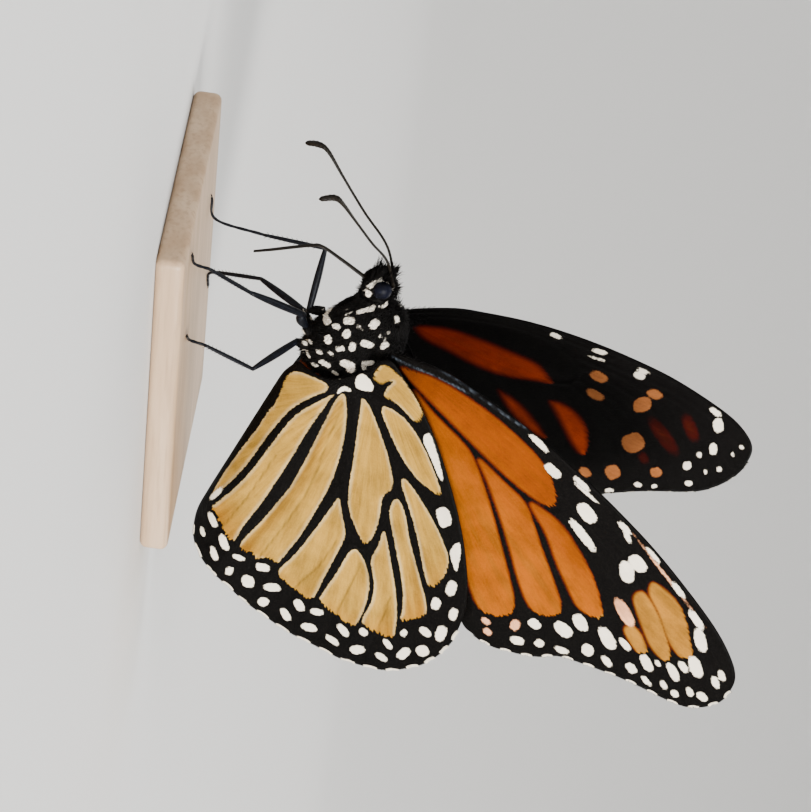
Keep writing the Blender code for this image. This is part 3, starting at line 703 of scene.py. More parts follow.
def on_fore_wing(places, lift, side):
    """Points of the fore wing in body measures; lift is toward its outward, under face."""
    span = np.array([0.0, side * math.sin(FORE_OPENING), math.cos(FORE_OPENING)])
    back = np.array([1.0, 0.0, 0.0])
    outside = np.array([0.0, side * math.cos(FORE_OPENING), -math.sin(FORE_OPENING)])
    tipward = span * math.cos(FORE_SWEEP) + back * math.sin(FORE_SWEEP)
    forward = span * math.sin(FORE_SWEEP) - back * math.cos(FORE_SWEEP)
    hinge = np.array(FORE_HINGE) * (1, side, 1)
    return hinge + places[:, :1] * tipward + places[:, 1:] * forward + lift[:, None] * outside


def on_hind_wing(places, lift, side):
    """The same for the hind wing, which opens above its hinge and tucks in below it."""
    def surface(along, height):
        turn = np.maximum(0.0, TUCK_START - height - TUCK_FALL * along) / TUCK_RADIUS
        sideways = math.sin(HIND_OPENING) * np.log1p(np.exp(height)) - TUCK_RADIUS * (1 - np.cos(turn))
        rise = np.where(height > 0, height * math.cos(HIND_OPENING), height)
        return np.stack([along, sideways, rise + TUCK_RADIUS * (turn - np.sin(turn))], 1)

    step = 0.1
    back, up = places.T
    across = surface(back, up + step) - surface(back, up - step)
    outside = unit(np.cross(across, surface(back + step, up) - surface(back - step, up)))
    return (np.array(HIND_HINGE[side]) + surface(back, up) + outside * lift[:, None]) * (1, side, 1)


ON_WING = {"fore": on_fore_wing, "hind": on_hind_wing}


def map_size(points):
    """How many millimetres of a wing, with its two faces one above the other, fill its layout."""
    return max(np.ptp(points[:, 0]), 2.1 * np.ptp(points[:, 1])) * 1.03


def on_map(points, places, face):
    """Where places on the wing with these points lie in its flat layout."""
    return (places - points.min(0)) / map_size(points) + 0.01 + (0.0, 0.5 * (face == "upper"))


def margin(kind):
    """The wing's edge, drawn in a little at each white dash of the fringe; and which of it is white."""
    outline, start, stop, period, share = MARGINS[kind]
    dent = 0.13
    path = evenly(smooth_path(outline, 12, closed=True), EDGE_STEP, closed=True)
    first, last = (int(np.argmin(np.linalg.norm(path - end, axis=1))) for end in (start, stop))
    number = np.arange(len(path))
    run = (number - first) * EDGE_STEP / period
    along = np.clip((run % 1.0) / share, 0.0, 1.0)
    fringed = (number >= first) & (number < last)
    ahead = unit(np.roll(path, -1, axis=0) - np.roll(path, 1, axis=0))
    beyond = np.stack([ahead[:, 1], -ahead[:, 0]], 1)
    if inside(path[first:first + 1] + beyond[first:first + 1] * 0.3, path)[0]:
        beyond = -beyond
    path = path - beyond * np.where(fringed, dent * np.sin(along * math.pi), 0.0)[:, None]
    return path, ahead, beyond, fringed, fringed & (along < 1.0)


def flat_sheet(kind):
    """Points and triangles that fill the outline, and the pairs of points along its edge."""
    ring = evenly(margin(kind)[0], GRID, closed=True)
    low, high = ring.min(0), ring.max(0)
    rows = []
    row_step = GRID * 0.866     # gives triangles with even sides
    for number, y in enumerate(np.arange(low[1], high[1], row_step)):
        x = np.arange(low[0] + (number % 2) * GRID / 2, high[0], GRID)
        rows.append(np.stack([x, np.full(len(x), y)], 1))
    filling = np.vstack(rows)
    filling = filling[inside(filling, ring)]
    filling = filling[distance_to(filling, ring, closed=True) > 0.6 * GRID]
    points = [Vector(point) for point in np.vstack([ring, filling]).tolist()]
    points, _, triangles, *_ = geometry.delaunay_2d_cdt(points, [], [list(range(len(ring)))], 1, 1e-5)
    points = np.array([tuple(point) for point in points])
    turned = []
    for a, b, c in triangles:
        (ax, ay), (bx, by), (cx, cy) = points[a], points[b], points[c]
        turned.append((a, b, c) if (bx - ax) * (cy - ay) > (by - ay) * (cx - ax) else (a, c, b))
    edges = {(a, b) for face in turned for a, b in zip(face, face[1:] + face[:1])}
    return points, turned, [(a, b) for a, b in edges if (b, a) not in edges], ring


def add_wing(kind, word, sheet, side, faces_of, finishes):
    """One thin wing: raised veins on both faces, creases between them, and its own markings."""
    points, triangles, edges, ring = sheet
    count = len(points)
    place = ON_WING[kind]
    veins, creases = (FORE_VEINS, []) if kind == "fore" else (HIND_VEINS, HIND_CREASES)
    to_vein = np.min([distance_to(points, smooth_path(vein, 4)) for vein in veins], axis=0)
    to_edge = distance_to(points, ring, closed=True)
    rib = MEMBRANE + VEIN_RISE * np.exp(-(to_vein / VEIN_WIDTH) ** 2)
    if kind == "fore":
        front = distance_to(points, smooth_path(FORE_OUTLINE[:10], 6))
        thinning = np.clip((46.0 - points[:, 0]) / 20.0, 0.0, 1.0)
        rib += FRONT_RISE * np.exp(-(front / FRONT_WIDTH) ** 2) * thinning
    rib *= np.clip(0.35 + to_edge / 0.25, 0.35, 1.0)
    sag = SAG_DEPTH * np.cos(np.minimum(to_vein, SAG_REACH) * math.pi / SAG_REACH)
    sag -= CREASE_DEPTH * near_lines(points, creases, CREASE_WIDTH)
    sag *= np.clip(to_edge / 1.5, 0.25, 1.0)
    solid = to_row(np.vstack([place(points, sag + rib, side), place(points, sag - rib, side)]))
    faces, layout, which = [], [], []
    under, upper = on_map(points, points, "under"), on_map(points, points, "upper")
    for triangle in triangles:
        faces += [triangle, tuple(corner + count for corner in reversed(triangle))]
        layout += [under[list(triangle)], upper[list(reversed(triangle))]]
        which += [0, 1]
    centre = points.mean(0)
    for a, b in edges:
        beyond = (points[[a, b]] - centre) * 0.15 / 20.0 / map_size(points)
        faces.append((b, a, a + count, b + count))
        layout.append([under[b], under[a], under[a] + beyond[0], under[b] + beyond[1]])
        which.append(0)
    if volume(solid, faces) < 0:
        faces, layout = [face[::-1] for face in faces], [places[::-1] for places in layout]
    piece = add_piece(f"{word}_{kind}_wing", solid, faces, finishes, which)
    add_map(piece, np.concatenate(layout))
    for key in faces_of["under"]:
        add_values(piece, **{key: np.concatenate([faces_of["under"][key], faces_of["upper"][key]])})
    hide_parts(f"{kind}_wing_{word}")


def near_lines(points, lines, width):
    """1 on the lines, and falling away from them over the width."""
    near = np.zeros(len(points))
    for line in lines:
        near = np.maximum(near, np.exp(-(distance_to(points, smooth_path(line, 4)) / width) ** 2))
    return near


def wing_values(points, cells, spots, patches, warm, tone, creases, glints):
    """What a wing's finish reads at each point; ray and reach say where it lies in the fan of scales."""
    white = np.maximum(depth_in_spots(points, spots), depth_in_cells(points, patches))
    depth = depth_in_cells(points, cells)
    fan = points - FAN_ROOT
    further = depth_in_cells(points + LOOK_OUT * unit(fan), cells)
    end = np.clip((depth - further) / LOOK_OUT, 0.0, 1.0) ** 2 * np.clip(1.3 - np.abs(depth), 0.0, 1.0)
    return {"cell": depth, "end": end, "spot": white, "warm": depth_in_spots(points, warm),
            # painted shade, darkest on the creases
            "tone": tone, "painted_shade": near_lines(points, creases, 0.13) * 0.9,
            "glint": near_lines(points, glints, 0.1),
            "ray": np.arctan2(fan[:, 1], fan[:, 0]) * 20.0, "reach": np.hypot(fan[:, 0], fan[:, 1])}


def stacked(layers):
    """The layers' rows of each kind, one under another."""
    return [np.concatenate(rows) for rows in zip(*layers)]


def add_fringe(kind, word, sheet, side, finish):
    """Fine scales along the outer margin, white in dashes between the ends of the veins; on the fore wing's
    upper face the dashes are painted dark, as shade.
    """
    place = ON_WING[kind]
    edge, ahead, beyond, fringed, white = margin(kind)
    edge, ahead, beyond, white = (rows[fringed] for rows in (edge, ahead, beyond, white))
    count = len(edge)
    layers = []
    for face, lift in (("under", 0.05), ("upper", -0.05)):
        shifted = edge - beyond * 0.12 + ahead * CHANCE.uniform(-0.03, 0.03, (count, 1))
        here = to_row(place(shifted, np.full(count, lift), side))
        tips = shifted + beyond * 0.3 + ahead * CHANCE.uniform(-0.05, 0.05, (count, 1))
        there = to_row(place(tips, np.full(count, lift * 0.2), side))
        above = to_row(place(shifted, np.full(count, lift * 3), side))
        lengths = np.where(white, 0.42, 0.28) * CHANCE.uniform(0.85, 1.1, count)
        # on its upper face the fore wing's fringe is painted dark, as shade over its white dashes
        pale = np.where(white & ((kind == "hind") | (face == "under")), 1.0, -1.0)
        layers.append((here, there - here, above - here, lengths, on_map(sheet[0], shifted, face), pale))
    piece = add_tufts(f"{word}_{kind}_wing_fringe", finish, 0.13, 0.0, *stacked(layers))


def add_root_hair(kind, word, sheet, side, faces_of, finish):
    """Black hair that runs from the thorax onto the root of a wing, over both of its faces."""
    points, place = sheet[0], ON_WING[kind]
    heart, reach = ROOT_HAIR[kind]
    away = points - heart
    far = np.linalg.norm(away, axis=1)
    layers = []
    for face, lift in (("under", MEMBRANE), ("upper", -MEMBRANE)):
        black = (faces_of[face]["spot"] < -0.15) & (faces_of[face]["cell"] < -0.12)
        chosen = black & (far < reach * CHANCE.uniform(0.6, 1.0, len(points)))
        count = chosen.sum()
        from_here = points[chosen] + CHANCE.normal(0.0, 0.06, (count, 2))
        ahead = unit(away[chosen]) + CHANCE.normal(0.0, 0.35, (count, 2))
        here = to_row(place(from_here, np.full(count, lift), side))
        above = to_row(place(from_here, np.full(count, lift * 6), side))
        there = to_row(place(from_here + ahead * 0.4, lift * CHANCE.uniform(1.5, 4.0, count), side))
        lengths = CHANCE.uniform(0.35, 0.6, count) * (1.2 - 0.5 * far[chosen] / reach)
        layers.append((here, there - here, above - here, lengths,
                       on_map(points, from_here, face), np.full(count, -1.0)))
    piece = add_tufts(f"{word}_{kind}_wing_root_hair", finish, 0.09, 0.1, *stacked(layers))


# ---------------------------------------------------------------- body

COAT = 0.4                      # how deep the hair and scales lie on the skin
VOXEL = 0.15                    # the grid of the skin
BODY_SIDES, LIMB_SIDES = 32, 14
HEAD_BACK, TAIL_START = -4.3, 8.0       # where the head's and the abdomen's coats meet the thorax's
BODY_MIDDLE = -3.4              # height that the flat layout of the skin turns round
HEAD_CENTRE, HEAD_RADII = (-5.4, 0.0, -3.8), (1.6, 1.5, 2.1)
EYE_CENTRE, EYE_RADII = (-6.05, 1.2, -3.45), (1.05, 0.75, 1.0)
# x, half width, top and bottom
THORAX = [
    (-3.5, 1.0, -1.5, -4.2), (-3.1, 1.8, -0.6, -5.0), (-2.0, 2.3, 0.6, -5.75), (-0.5, 2.75, 1.3, -6.9),
    (1.5, 3.0, 1.7, -8.1), (3.5, 3.0, 1.5, -8.8), (5.5, 2.9, 0.9, -8.9), (7.2, 2.45, 0.0, -8.15),
    (8.0, 1.5, -1.2, -6.6)]
ABDOMEN = [
    (6.4, 1.3, -1.9, -5.4), (8.3, 1.5, -1.5, -5.2), (9.3, 1.9, -0.9, -5.6), (11.5, 2.2, -0.7, -5.8),
    (15.0, 2.3, -0.9, -6.0), (19.0, 2.2, -1.3, -6.2), (22.5, 1.9, -1.9, -6.2), (25.5, 1.4, -2.7, -5.9),
    (27.2, 0.8, -3.4, -5.4), (27.8, 0.5, -3.8, -5.0)]
# White spots of the body, each from one end to the other, x, distance out from the middle and z; and
# how far it reaches round them
BODY_SPOTS = [
    ((-1.0, 1.9, -5.8), (-1.3, 2.1, -5.4), 0.47), ((0.3, 1.8, -6.7), (0.2, 2.1, -6.3), 0.31),
    ((0.9, 0.3, -7.8), (0.7, 1.1, -7.5), 0.42), ((-2.2, 2.4, -2.8), (-1.9, 2.5, -2.9), 0.5),
    ((-1.1, 2.5, -4.5), (-1.0, 2.7, -3.9), 0.2), ((-2.9, 1.15, -0.45), (-2.9, 1.25, -0.5), 0.42),
    ((0.4, 2.7, -5.2), (0.2, 2.6, -5.2), 0.46), ((2.0, 2.3, -6.8), (2.2, 2.5, -6.7), 0.44),
    ((0.6, 2.9, -3.0), (0.6, 2.9, -2.5), 0.45), ((1.9, 3.0, -4.0), (1.3, 2.9, -4.1), 0.33),
    ((2.6, 2.9, -5.3), (2.3, 2.9, -5.0), 0.32), ((4.2, 2.4, -7.2), (4.2, 2.5, -6.9), 0.27),
    ((4.8, 0.8, -8.8), (3.8, 1.8, -8.4), 0.32), ((5.4, 1.8, -8.2), (5.8, 1.9, -7.8), 0.28),
    ((3.5, 2.7, -6.1), (3.7, 2.9, -5.6), 0.17), ((0.0, 2.9, -1.2), (-0.5, 2.8, -1.0), 0.4),
    ((-1.3, 2.6, -1.0), (-1.6, 2.5, -0.9), 0.26), ((-0.9, 2.7, -1.8), (-0.8, 2.7, -1.7), 0.18),
    ((3.4, 2.9, -2.0), (3.1, 2.9, -1.4), 0.4), ((4.2, 3.0, -4.0), (4.3, 3.0, -3.4), 0.54),
    ((5.3, 2.7, -6.3), (5.4, 2.8, -5.6), 0.36), ((6.5, 2.1, -7.1), (6.4, 2.3, -6.7), 0.28),
    ((-1.4, 1.2, -6.1), (-1.9, 1.3, -5.7), 0.17), ((-2.35, 1.5, -5.0), (-3.0, 1.5, -4.2), 0.27),
    ((-3.0, 1.5, -4.2), (-3.4, 1.5, -3.65), 0.3),
    ((-3.8, 1.2, -2.6), (-4.2, 1.0, -2.05), 0.24), ((6.2, 2.9, -4.7), (6.4, 2.8, -4.3), 0.3),
    ((-4.85, 1.25, -4.75), (-4.8, 1.2, -4.7), 0.45), ((-6.9, 0.5, -3.1), (-6.7, 0.75, -2.95), 0.2),
    ((-6.2, 0.6, -2.05), (-6.1, 0.6, -2.0), 0.18), ((-3.75, 1.4, -3.0), (-3.75, 1.4, -2.95), 0.12),
    ((-5.9, 1.2, -4.9), (-6.5, 1.1, -4.4), 0.3), ((-6.5, 1.1, -4.35), (-7.05, 0.5, -3.75), 0.23),
    ((3.0, 1.6, -9.5), (2.9, 1.7, -9.4), 0.36), ((6.1, 0.9, -8.5), (6.1, 1.0, -8.4), 0.26)]
for x in (11.0, 13.2, 15.4, 17.6, 19.8, 22.0):
    BODY_SPOTS += [((x, 1.9, -4.2), (x + 0.2, 1.9, -3.9), 0.36),
                   ((x, 1.0, -6.0), (x + 0.3, 1.0, -6.0), 0.34)]
BODY_SPOTS.append(((24.2, 1.9, -4.2), (24.4, 1.9, -3.9), 0.36))


def rounded_body(sections):
    """Points and faces of a long body of rounded sections, drawn in by the depth of the coat."""
    rows = smooth_path(sections, 4)
    turn = np.arange(BODY_SIDES) * 2 * math.pi / BODY_SIDES
    out = [np.sign(part) * np.abs(part) ** (2 / 2.4) for part in (np.cos(turn), np.sin(turn))]
    points = []
    for x, half_width, top, bottom in rows:
        tall = max((top - bottom) / 2 - COAT, 0.05)
        wide = max(half_width - COAT, 0.05)
        middle = (top + bottom) / 2
        points.append(np.stack([np.full(BODY_SIDES, x), wide * out[0], middle + tall * out[1]], 1))
    return np.vstack(points), ring_faces(len(rows), BODY_SIDES)


def to_right(points):
    """The points, with those on the left mirrored to the right side."""
    return points * (1, 0, 1) + np.abs(points) * (0, 1, 0)


def one_skin(shapes):
    """The shapes melted into one closed surface, evenly gridded and smoothed; in body measures."""
    points, faces = joined(shapes)
    mesh = bpy.data.meshes.new("lump")
    mesh.from_pydata(points.tolist(), [], faces)
    lump = bpy.data.objects.new("lump", mesh)
    bpy.context.scene.collection.objects.link(lump)
    melt = lump.modifiers.new("melt", "REMESH")
    melt.mode = "VOXEL"
    melt.voxel_size = VOXEL
    ease = lump.modifiers.new("ease", "SMOOTH")
    ease.factor = 0.5
    ease.iterations = 8
    shape = bpy.data.meshes.new_from_object(lump.evaluated_get(bpy.context.evaluated_depsgraph_get()))
    points = np.array([vertex.co for vertex in shape.vertices])
    faces = [tuple(face.vertices) for face in shape.polygons]
    normals = np.array([face.normal for face in shape.polygons])
    middles = np.array([face.center for face in shape.polygons])
    bpy.data.objects.remove(lump)
    bpy.data.meshes.remove(shape)
    return points, faces, middles, normals


def round_the_body(points):
    """Flat layout of the body's skin: along it, and round it from the belly up and over."""
    turn = np.arctan2(points[:, 1], points[:, 2] - BODY_MIDDLE) / (2 * math.pi) + 0.5
    return np.stack([(points[:, 0] + 9.0) / 40.0, 0.01 + 0.98 * turn], 1)


def whiteness(points):
    """Depth inside the body's white spots, the same on both sides."""
    deepest = np.full(len(points), -9.0)
    points = to_right(points)
    for start, end, reach in BODY_SPOTS:
        start, run = np.array(start), np.subtract(end, start)
        t = np.clip((points - start) @ run / (run @ run), 0.0, 1.0)
        gap = np.linalg.norm(points - start - t[:, None] * run, axis=1)
        deepest = np.maximum(deepest, reach - gap)
    return deepest


def add_skin(name, shapes, material):
    """The body's skin; its faces' middles and the ways that they look come back with it."""
    points, faces, middles, normals = one_skin(shapes)
    piece = add_piece(name, to_row(points), faces, [material])
    corners = np.empty(len(points) * 3, np.float32)
    piece.data.vertices.foreach_get("normal", corners)
    turned = corners.reshape(-1, 3) @ np.array(Matrix.Rotation(PITCH, 3, "Y"))
    add_values(piece, white=whiteness(points + turned * COAT))
    layout = round_the_body(points)[corner_points(piece)]
    for face in piece.data.polygons:
        round_it = layout[face.loop_start:face.loop_start + face.loop_total]
        if np.ptp(round_it[:, 1]) > 0.5:
            round_it[:, 1] = np.where(round_it[:, 1] < 0.5, 0.999, round_it[:, 1])
    add_map(piece, layout)
    return piece, middles, normals


def add_coat(name, roots, normals, lie, length, width, rise, material):
    """Hair and scales over a skin, each lying the way that the body's coat does there."""
    count = len(roots)
    flat = unit(lie - np.einsum("ij,ij->i", lie, normals)[:, None] * normals
                + CHANCE.normal(0.0, 0.2, (count, 3)))
    over = roots + normals * (COAT - 0.1)
    white = whiteness(over + flat * 0.12) > 0.0
    # black hair that would hang over a white spot stays short, and white scales keep to their spot
    spoils = ~white & (whiteness(over + flat * (length * 0.8)[:, None]) > -0.04)
    strays = white & (whiteness(over + flat * 0.32) < 0.0)
    lengths = np.where(white, 0.4, length) * CHANCE.uniform(0.75, 1.15, count)
    lengths *= np.where(spoils, 0.4, np.where(strays, 0.6, 1.0))
    widths = np.where(white, 0.2, width) * CHANCE.uniform(0.8, 1.2, count)
    angle = np.radians(np.where(white, 16.0, rise) + CHANCE.normal(0.0, 6.0, count))[:, None]
    ways = flat * np.cos(angle) + normals * np.sin(angle)
    start = to_row(roots - normals * 0.05)
    turned = to_row(roots + ways) - to_row(roots)
    outs = to_row(roots + normals) - to_row(roots)
    piece = add_tufts(name, material, widths, 0.12, start, turned, outs, lengths,
                      round_the_body(roots), np.where(white, 1.0, -1.0))


def thin_out(roots, normals, density):
    """Some of the roots, so that about this many stand on a square millimetre; more on white spots."""
    share = np.where(whiteness(roots + normals * COAT) > -0.1, 1.0, density * VOXEL ** 2)
    keep = CHANCE.random(len(roots)) < share
    return roots[keep] + CHANCE.normal(0.0, VOXEL * 0.3, (keep.sum(), 3)), normals[keep]


# ---------------------------------------------------------------- limbs

# Places along each thin limb, each with its radius
ANTENNAE = {
    "left": [(-6.25, -0.38, -2.35, 0.16), (-9.7, -0.7, -4.2, 0.14), (-12.8, -2.2, -6.7, 0.14),
             (-16.3, -3.6, -9.5, 0.15), (-18.8, -4.6, -11.5, 0.22), (-19.6, -5.0, -12.6, 0.33),
             (-19.3, -5.6, -14.1, 0.27)],
    "right": [(-6.25, 0.38, -2.35, 0.16), (-9.4, 1.8, -4.4, 0.14), (-11.5, 3.4, -7.8, 0.14),
              (-14.1, 4.6, -11.1, 0.15), (-16.1, 5.4, -13.5, 0.22), (-16.2, 5.8, -14.7, 0.33),
              (-15.5, 6.2, -15.9, 0.27)]}
PROBOSCIS = [
    (-5.9, 0.0, -5.3, 0.2), (-7.4, 0.0, -8.7, 0.16), (-8.2, 0.0, -10.9, 0.15), (-7.8, 0.0, -12.1, 0.15),
    (-5.7, 0.0, -15.4, 0.13), (-4.6, 0.0, -17.2, 0.09)]
PALP = [
    (-5.1, 0.8, -5.35, 0.26), (-5.8, 0.8, -5.1, 0.3), (-6.6, 0.65, -4.75, 0.26), (-7.05, 0.5, -4.3, 0.12)]
FORELEG = [
    (-0.6, 0.5, -6.5, 0.26), (-1.5, 0.5, -5.95, 0.24), (-2.3, 0.45, -5.45, 0.2), (-3.2, 0.45, -5.2, 0.12)]
# Hip and first joint on the body; then knee, ankle, ball and toe of the standing butterfly,
# measured level from between the hinges
LEGS = {
    "leg_mid_right": ((1.6, 1.3, -7.6), (2.3, 1.5, -9.1), [
        (-6.0, 4.7, -8.5), (-5.7, 5.8, -15.1), (-6.2, 6.6, -20.3), (-8.4, 7.5, -21.0)]),
    "leg_hind_right": ((4.7, 1.3, -8.0), (3.5, 2.4, -9.5), [
        (1.0, 6.2, -15.1), (3.2, 8.6, -20.0), (4.2, 9.2, -20.95), (6.8, 10.1, -21.0)]),
    "leg_mid_left": ((2.9, -1.2, -8.7), (0.3, -1.6, -10.0), [
        (-7.0, -4.5, -15.2), (-11.6, -6.7, -19.3), (-12.8, -7.5, -20.8), (-15.0, -8.6, -21.0)]),
    "leg_hind_left": ((4.7, -1.3, -8.0), (4.2, -1.7, -9.5), [
        (2.4, -6.0, -14.2), (-1.0, -6.9, -19.3), (-1.8, -7.3, -20.8), (-3.8, -8.8, -21.0)])}

SPINES = 22                     # on each shin
HAIRY_SHARE = {"leg_mid_left": 0.35}    # beyond this much of its hip piece that leg is bare and smooth


def swelling(root, middle, tip):
    """Radii along one limb piece: narrow at both joints and full in between."""
    run = np.linspace(0.0, 1.0, 17)
    return root + (tip - root) * run + (middle - (root + tip) / 2) * np.sin(run * math.pi) ** 0.8


def add_leg(name, material, hairy_material):
    """Hip piece, thigh, shin with its spines, and the foot of five short pieces with two claws."""
    hip, first, standing = LEGS[name]
    knee, ankle, ball_joint, toe = (np.array(level(*point)) for point in standing)
    hip, first = np.array(hip), np.array(first)
    rods = []

    def limb(start, end, radii, bow=0.0):
        run = np.linspace(0.0, 1.0, len(radii))[:, None]
        rise = np.array([0.0, 0.0, bow]) * np.sin(run * math.pi)
        rods.append((start + (end - start) * run + rise, radii))

    bare = hip + (first - hip) * HAIRY_SHARE.get(name, 1.0)
    hip_piece = [(*(hip + (bare - hip) * run), wide) for run, wide in ((0.0, 0.42), (0.5, 0.46), (1.0, 0.3))]
    if name in HAIRY_SHARE:
        limb(bare, first, swelling(0.3, 0.55, 0.36), bow=-0.4)
    limb(first - unit(knee - first) * 0.25, knee, swelling(0.3, 0.4, 0.22))
    limb(knee - unit(ankle - knee) * 0.1, ankle, swelling(0.2, 0.23, 0.17))
    foot = evenly(smooth_path([ankle, ball_joint, toe], 8), 0.1)
    bulge = 0.155 + 0.03 * np.abs(np.sin(np.linspace(0.0, 5 * math.pi, len(foot))))
    rods.append((foot, bulge * np.linspace(1.0, 0.8, len(foot))))
    shin = unit(ankle - knee)
    across = unit(np.cross(shin, (0.3, 1.0, 0.2)))
    for number in range(SPINES):
        at = knee + (ankle - knee) * (0.12 + 0.04 * number)
        out = across * (1 if number % 2 else -1)
        tip = at + out * 0.42 + shin * 0.28
        rods.append((np.linspace(at + out * 0.14, tip, 3), np.array([0.035, 0.025, 0.006])))
    ahead = unit(foot[-1] - foot[-3])
    aside = unit(np.cross(ahead, (0.0, 0.0, 1.0)))
    for way in (-1, 1):
        claw = foot[-1] + np.outer([0.0, 0.18, 0.34], ahead) + np.outer([0.0, 0.14, 0.16], aside * way)
        rods.append((claw + np.outer([0.0, 0.02, -0.1], (0.0, 0.0, 1.0)), np.array([0.07, 0.05, 0.01])))
    leg = add_rods(name.replace("leg", "jointed_leg"), rods, 12, material)
    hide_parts(name)
    add_furry_rod(name.replace("leg", "hip"), hip_piece, 1, 0.24, name, hairy_material)


def add_antenna(word, material):
    """A fine ringed thread that swells into a club near its end."""
    rows = evenly(smooth_path(ANTENNAE[word], 24), 0.07)
    ringed = rows[:, 3] * (1.0 + 0.05 * np.sin(np.arange(len(rows)) * 2 * math.pi / 6))
    ringed[-6:] *= (0.97, 0.9, 0.8, 0.66, 0.45, 0.2)
    antenna = add_rods(word + "_antenna", [(rows[:, :3], ringed)], LIMB_SIDES, material)
    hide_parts("antenna_" + word)


def add_proboscis(material):
    """Two half tubes side by side."""
    rows = evenly(smooth_path(PROBOSCIS, 16), 0.15)
    rods = [(rows[:, :3] + (0.0, aside * 0.085, 0.0), rows[:, 3] * 0.85) for aside in (-1, 1)]
    tongue = add_rods("tongue", rods, LIMB_SIDES, material)
    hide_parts("proboscis")


def add_furry_rod(name, rows, side, hair, node_name, material):
    """A small limb under its own coat of this length; the body's white spots run over it."""
    path = evenly(smooth_path([(x, side * y, z, r) for x, y, z, r in rows], 10), 0.12)
    centres, radii = path[:, :3], path[:, 3]
    points, faces = tube(centres, radii, LIMB_SIDES)
    piece = add_piece(name, to_row(points), outward(points, faces), [material])
    layout = np.stack([np.repeat(np.linspace(0.05, 0.95, len(path)), LIMB_SIDES),
                       np.tile((np.arange(LIMB_SIDES) + 0.5) / (LIMB_SIDES + 0.5), len(path))], 1)
    add_map(piece, layout[corner_points(piece)])
    normals = unit(points - np.repeat(centres, LIMB_SIDES, axis=0))
    ahead = np.repeat(unit(np.gradient(centres, axis=0)), LIMB_SIDES, axis=0)
    white = whiteness(points + normals * 0.25)
    add_values(piece, white=white)
    angle = np.radians(28.0)
    ways = unit(ahead + CHANCE.normal(0.0, 0.18, ahead.shape)) * math.cos(angle) + normals * math.sin(angle)
    lengths = np.where(white > 0, 0.25, hair) * CHANCE.uniform(0.7, 1.1, len(points))
    start = to_row(points)
    coat = add_tufts(name + "_coat", material, 0.13, 0.15, start, to_row(points + ways) - start,
                     to_row(points + normals) - start, lengths, layout, white)
    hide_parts(node_name)
    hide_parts(node_name)


# ---------------------------------------------------------------- the butterfly

RAGGED = ragged_group()
WING = wing_group(RAGGED)
BLACK, WHITE = (0.002, 0.0017, 0.0015), (0.86, 0.77, 0.62)
HIND_UNDER = wing_material(
    "hind wing under", WING, (0.5, 0.05, 0.03), Near=(0.35, 0.195, 0.030), Far=(0.29, 0.125, 0.010),
    Tip=(0.25, 0.085, 0.005), Rim=(0.44, 0.31, 0.13), Warm_Spot=(0.75, 0.5, 0.4))
HIND_UPPER = wing_material(
    "hind wing upper", WING, (0.6, 0.13, 0.05), Near=(0.22, 0.034, 0.002), Far=(0.26, 0.05, 0.002),
    Tip=(0.26, 0.05, 0.002), Rim=(0.12, 0.015, 0.001), Warm_Spot=(0.7, 0.4, 0.25))
FORE_UNDER = wing_material(
    "fore wing under", WING, (0.5, 0.11, 0.28), Near=(0.17, 0.033, 0.001), Far=(0.265, 0.066, 0.001),
    Tip=(0.28, 0.12, 0.013), Rim=(0.06, 0.006, 0.001), Warm_Spot=(0.72, 0.34, 0.18))
# The upper face's colours are deep: partly the deeper orange of a monarch's upper side, partly painted
# shade; they are darker toward the root.
FORE_UPPER = wing_material(
    "fore wing upper", WING, (0.9, 0.2, 0.05), Near=(0.17, 0.011, 0.001), Far=(0.38, 0.042, 0.005),
    Tip=(0.030, 0.004, 0.001), Rim=(0.03, 0.002, 0.001), Warm_Spot=(0.33, 0.11, 0.030))
SCALES = two_tone_material(
    "black and white scales", RAGGED, (0.003, 0.0026, 0.0024), (0.86, 0.79, 0.68), 0.1)
FRINGE = two_tone_material("fringe", RAGGED, (0.004, 0.0035, 0.003), (0.84, 0.76, 0.62), 0.3)
HORN = horny_material("black horn", (0.002, 0.002, 0.003), (0.0045, 0.006, 0.010))
BROWN_HORN = horny_material("brown black horn", (0.004, 0.003, 0.002), (0.010, 0.007, 0.004))
EYE, WOOD = eye_material(), wood_material()

fore_sheet, hind_sheet = flat_sheet("fore"), flat_sheet("hind")
along, across = fore_sheet[0].T
fore_faces = {
    "under": wing_values(fore_sheet[0], FORE_CELLS_UNDER, FORE_SPOTS_UNDER, [], FORE_WARM_UNDER,
                         np.clip(-across / 7.5, 0.05, 1.0) + 2.0 * (along > 36.4), [], FORE_GLINTS),
    "upper": wing_values(fore_sheet[0], FORE_CELLS_UPPER, FORE_SPOTS_UPPER, [], FORE_WARM_UPPER,
                         np.clip(along / 36.0, 0.0, 1.0) + (along > 36.0), [], [])}
fore_faces["upper"]["cell"] = np.maximum(
    fore_faces["upper"]["cell"], depth_in_spots(fore_sheet[0], FORE_FAINT_UPPER))
# painted shade: the fore wing's under face darkens toward its root, where the thorax and the hind wing shade
# it
fore_faces["under"]["painted_shade"] = np.clip(1.4 - along / 6.0, 0.0, 1.0)
back = hind_sheet[0][:, 0]
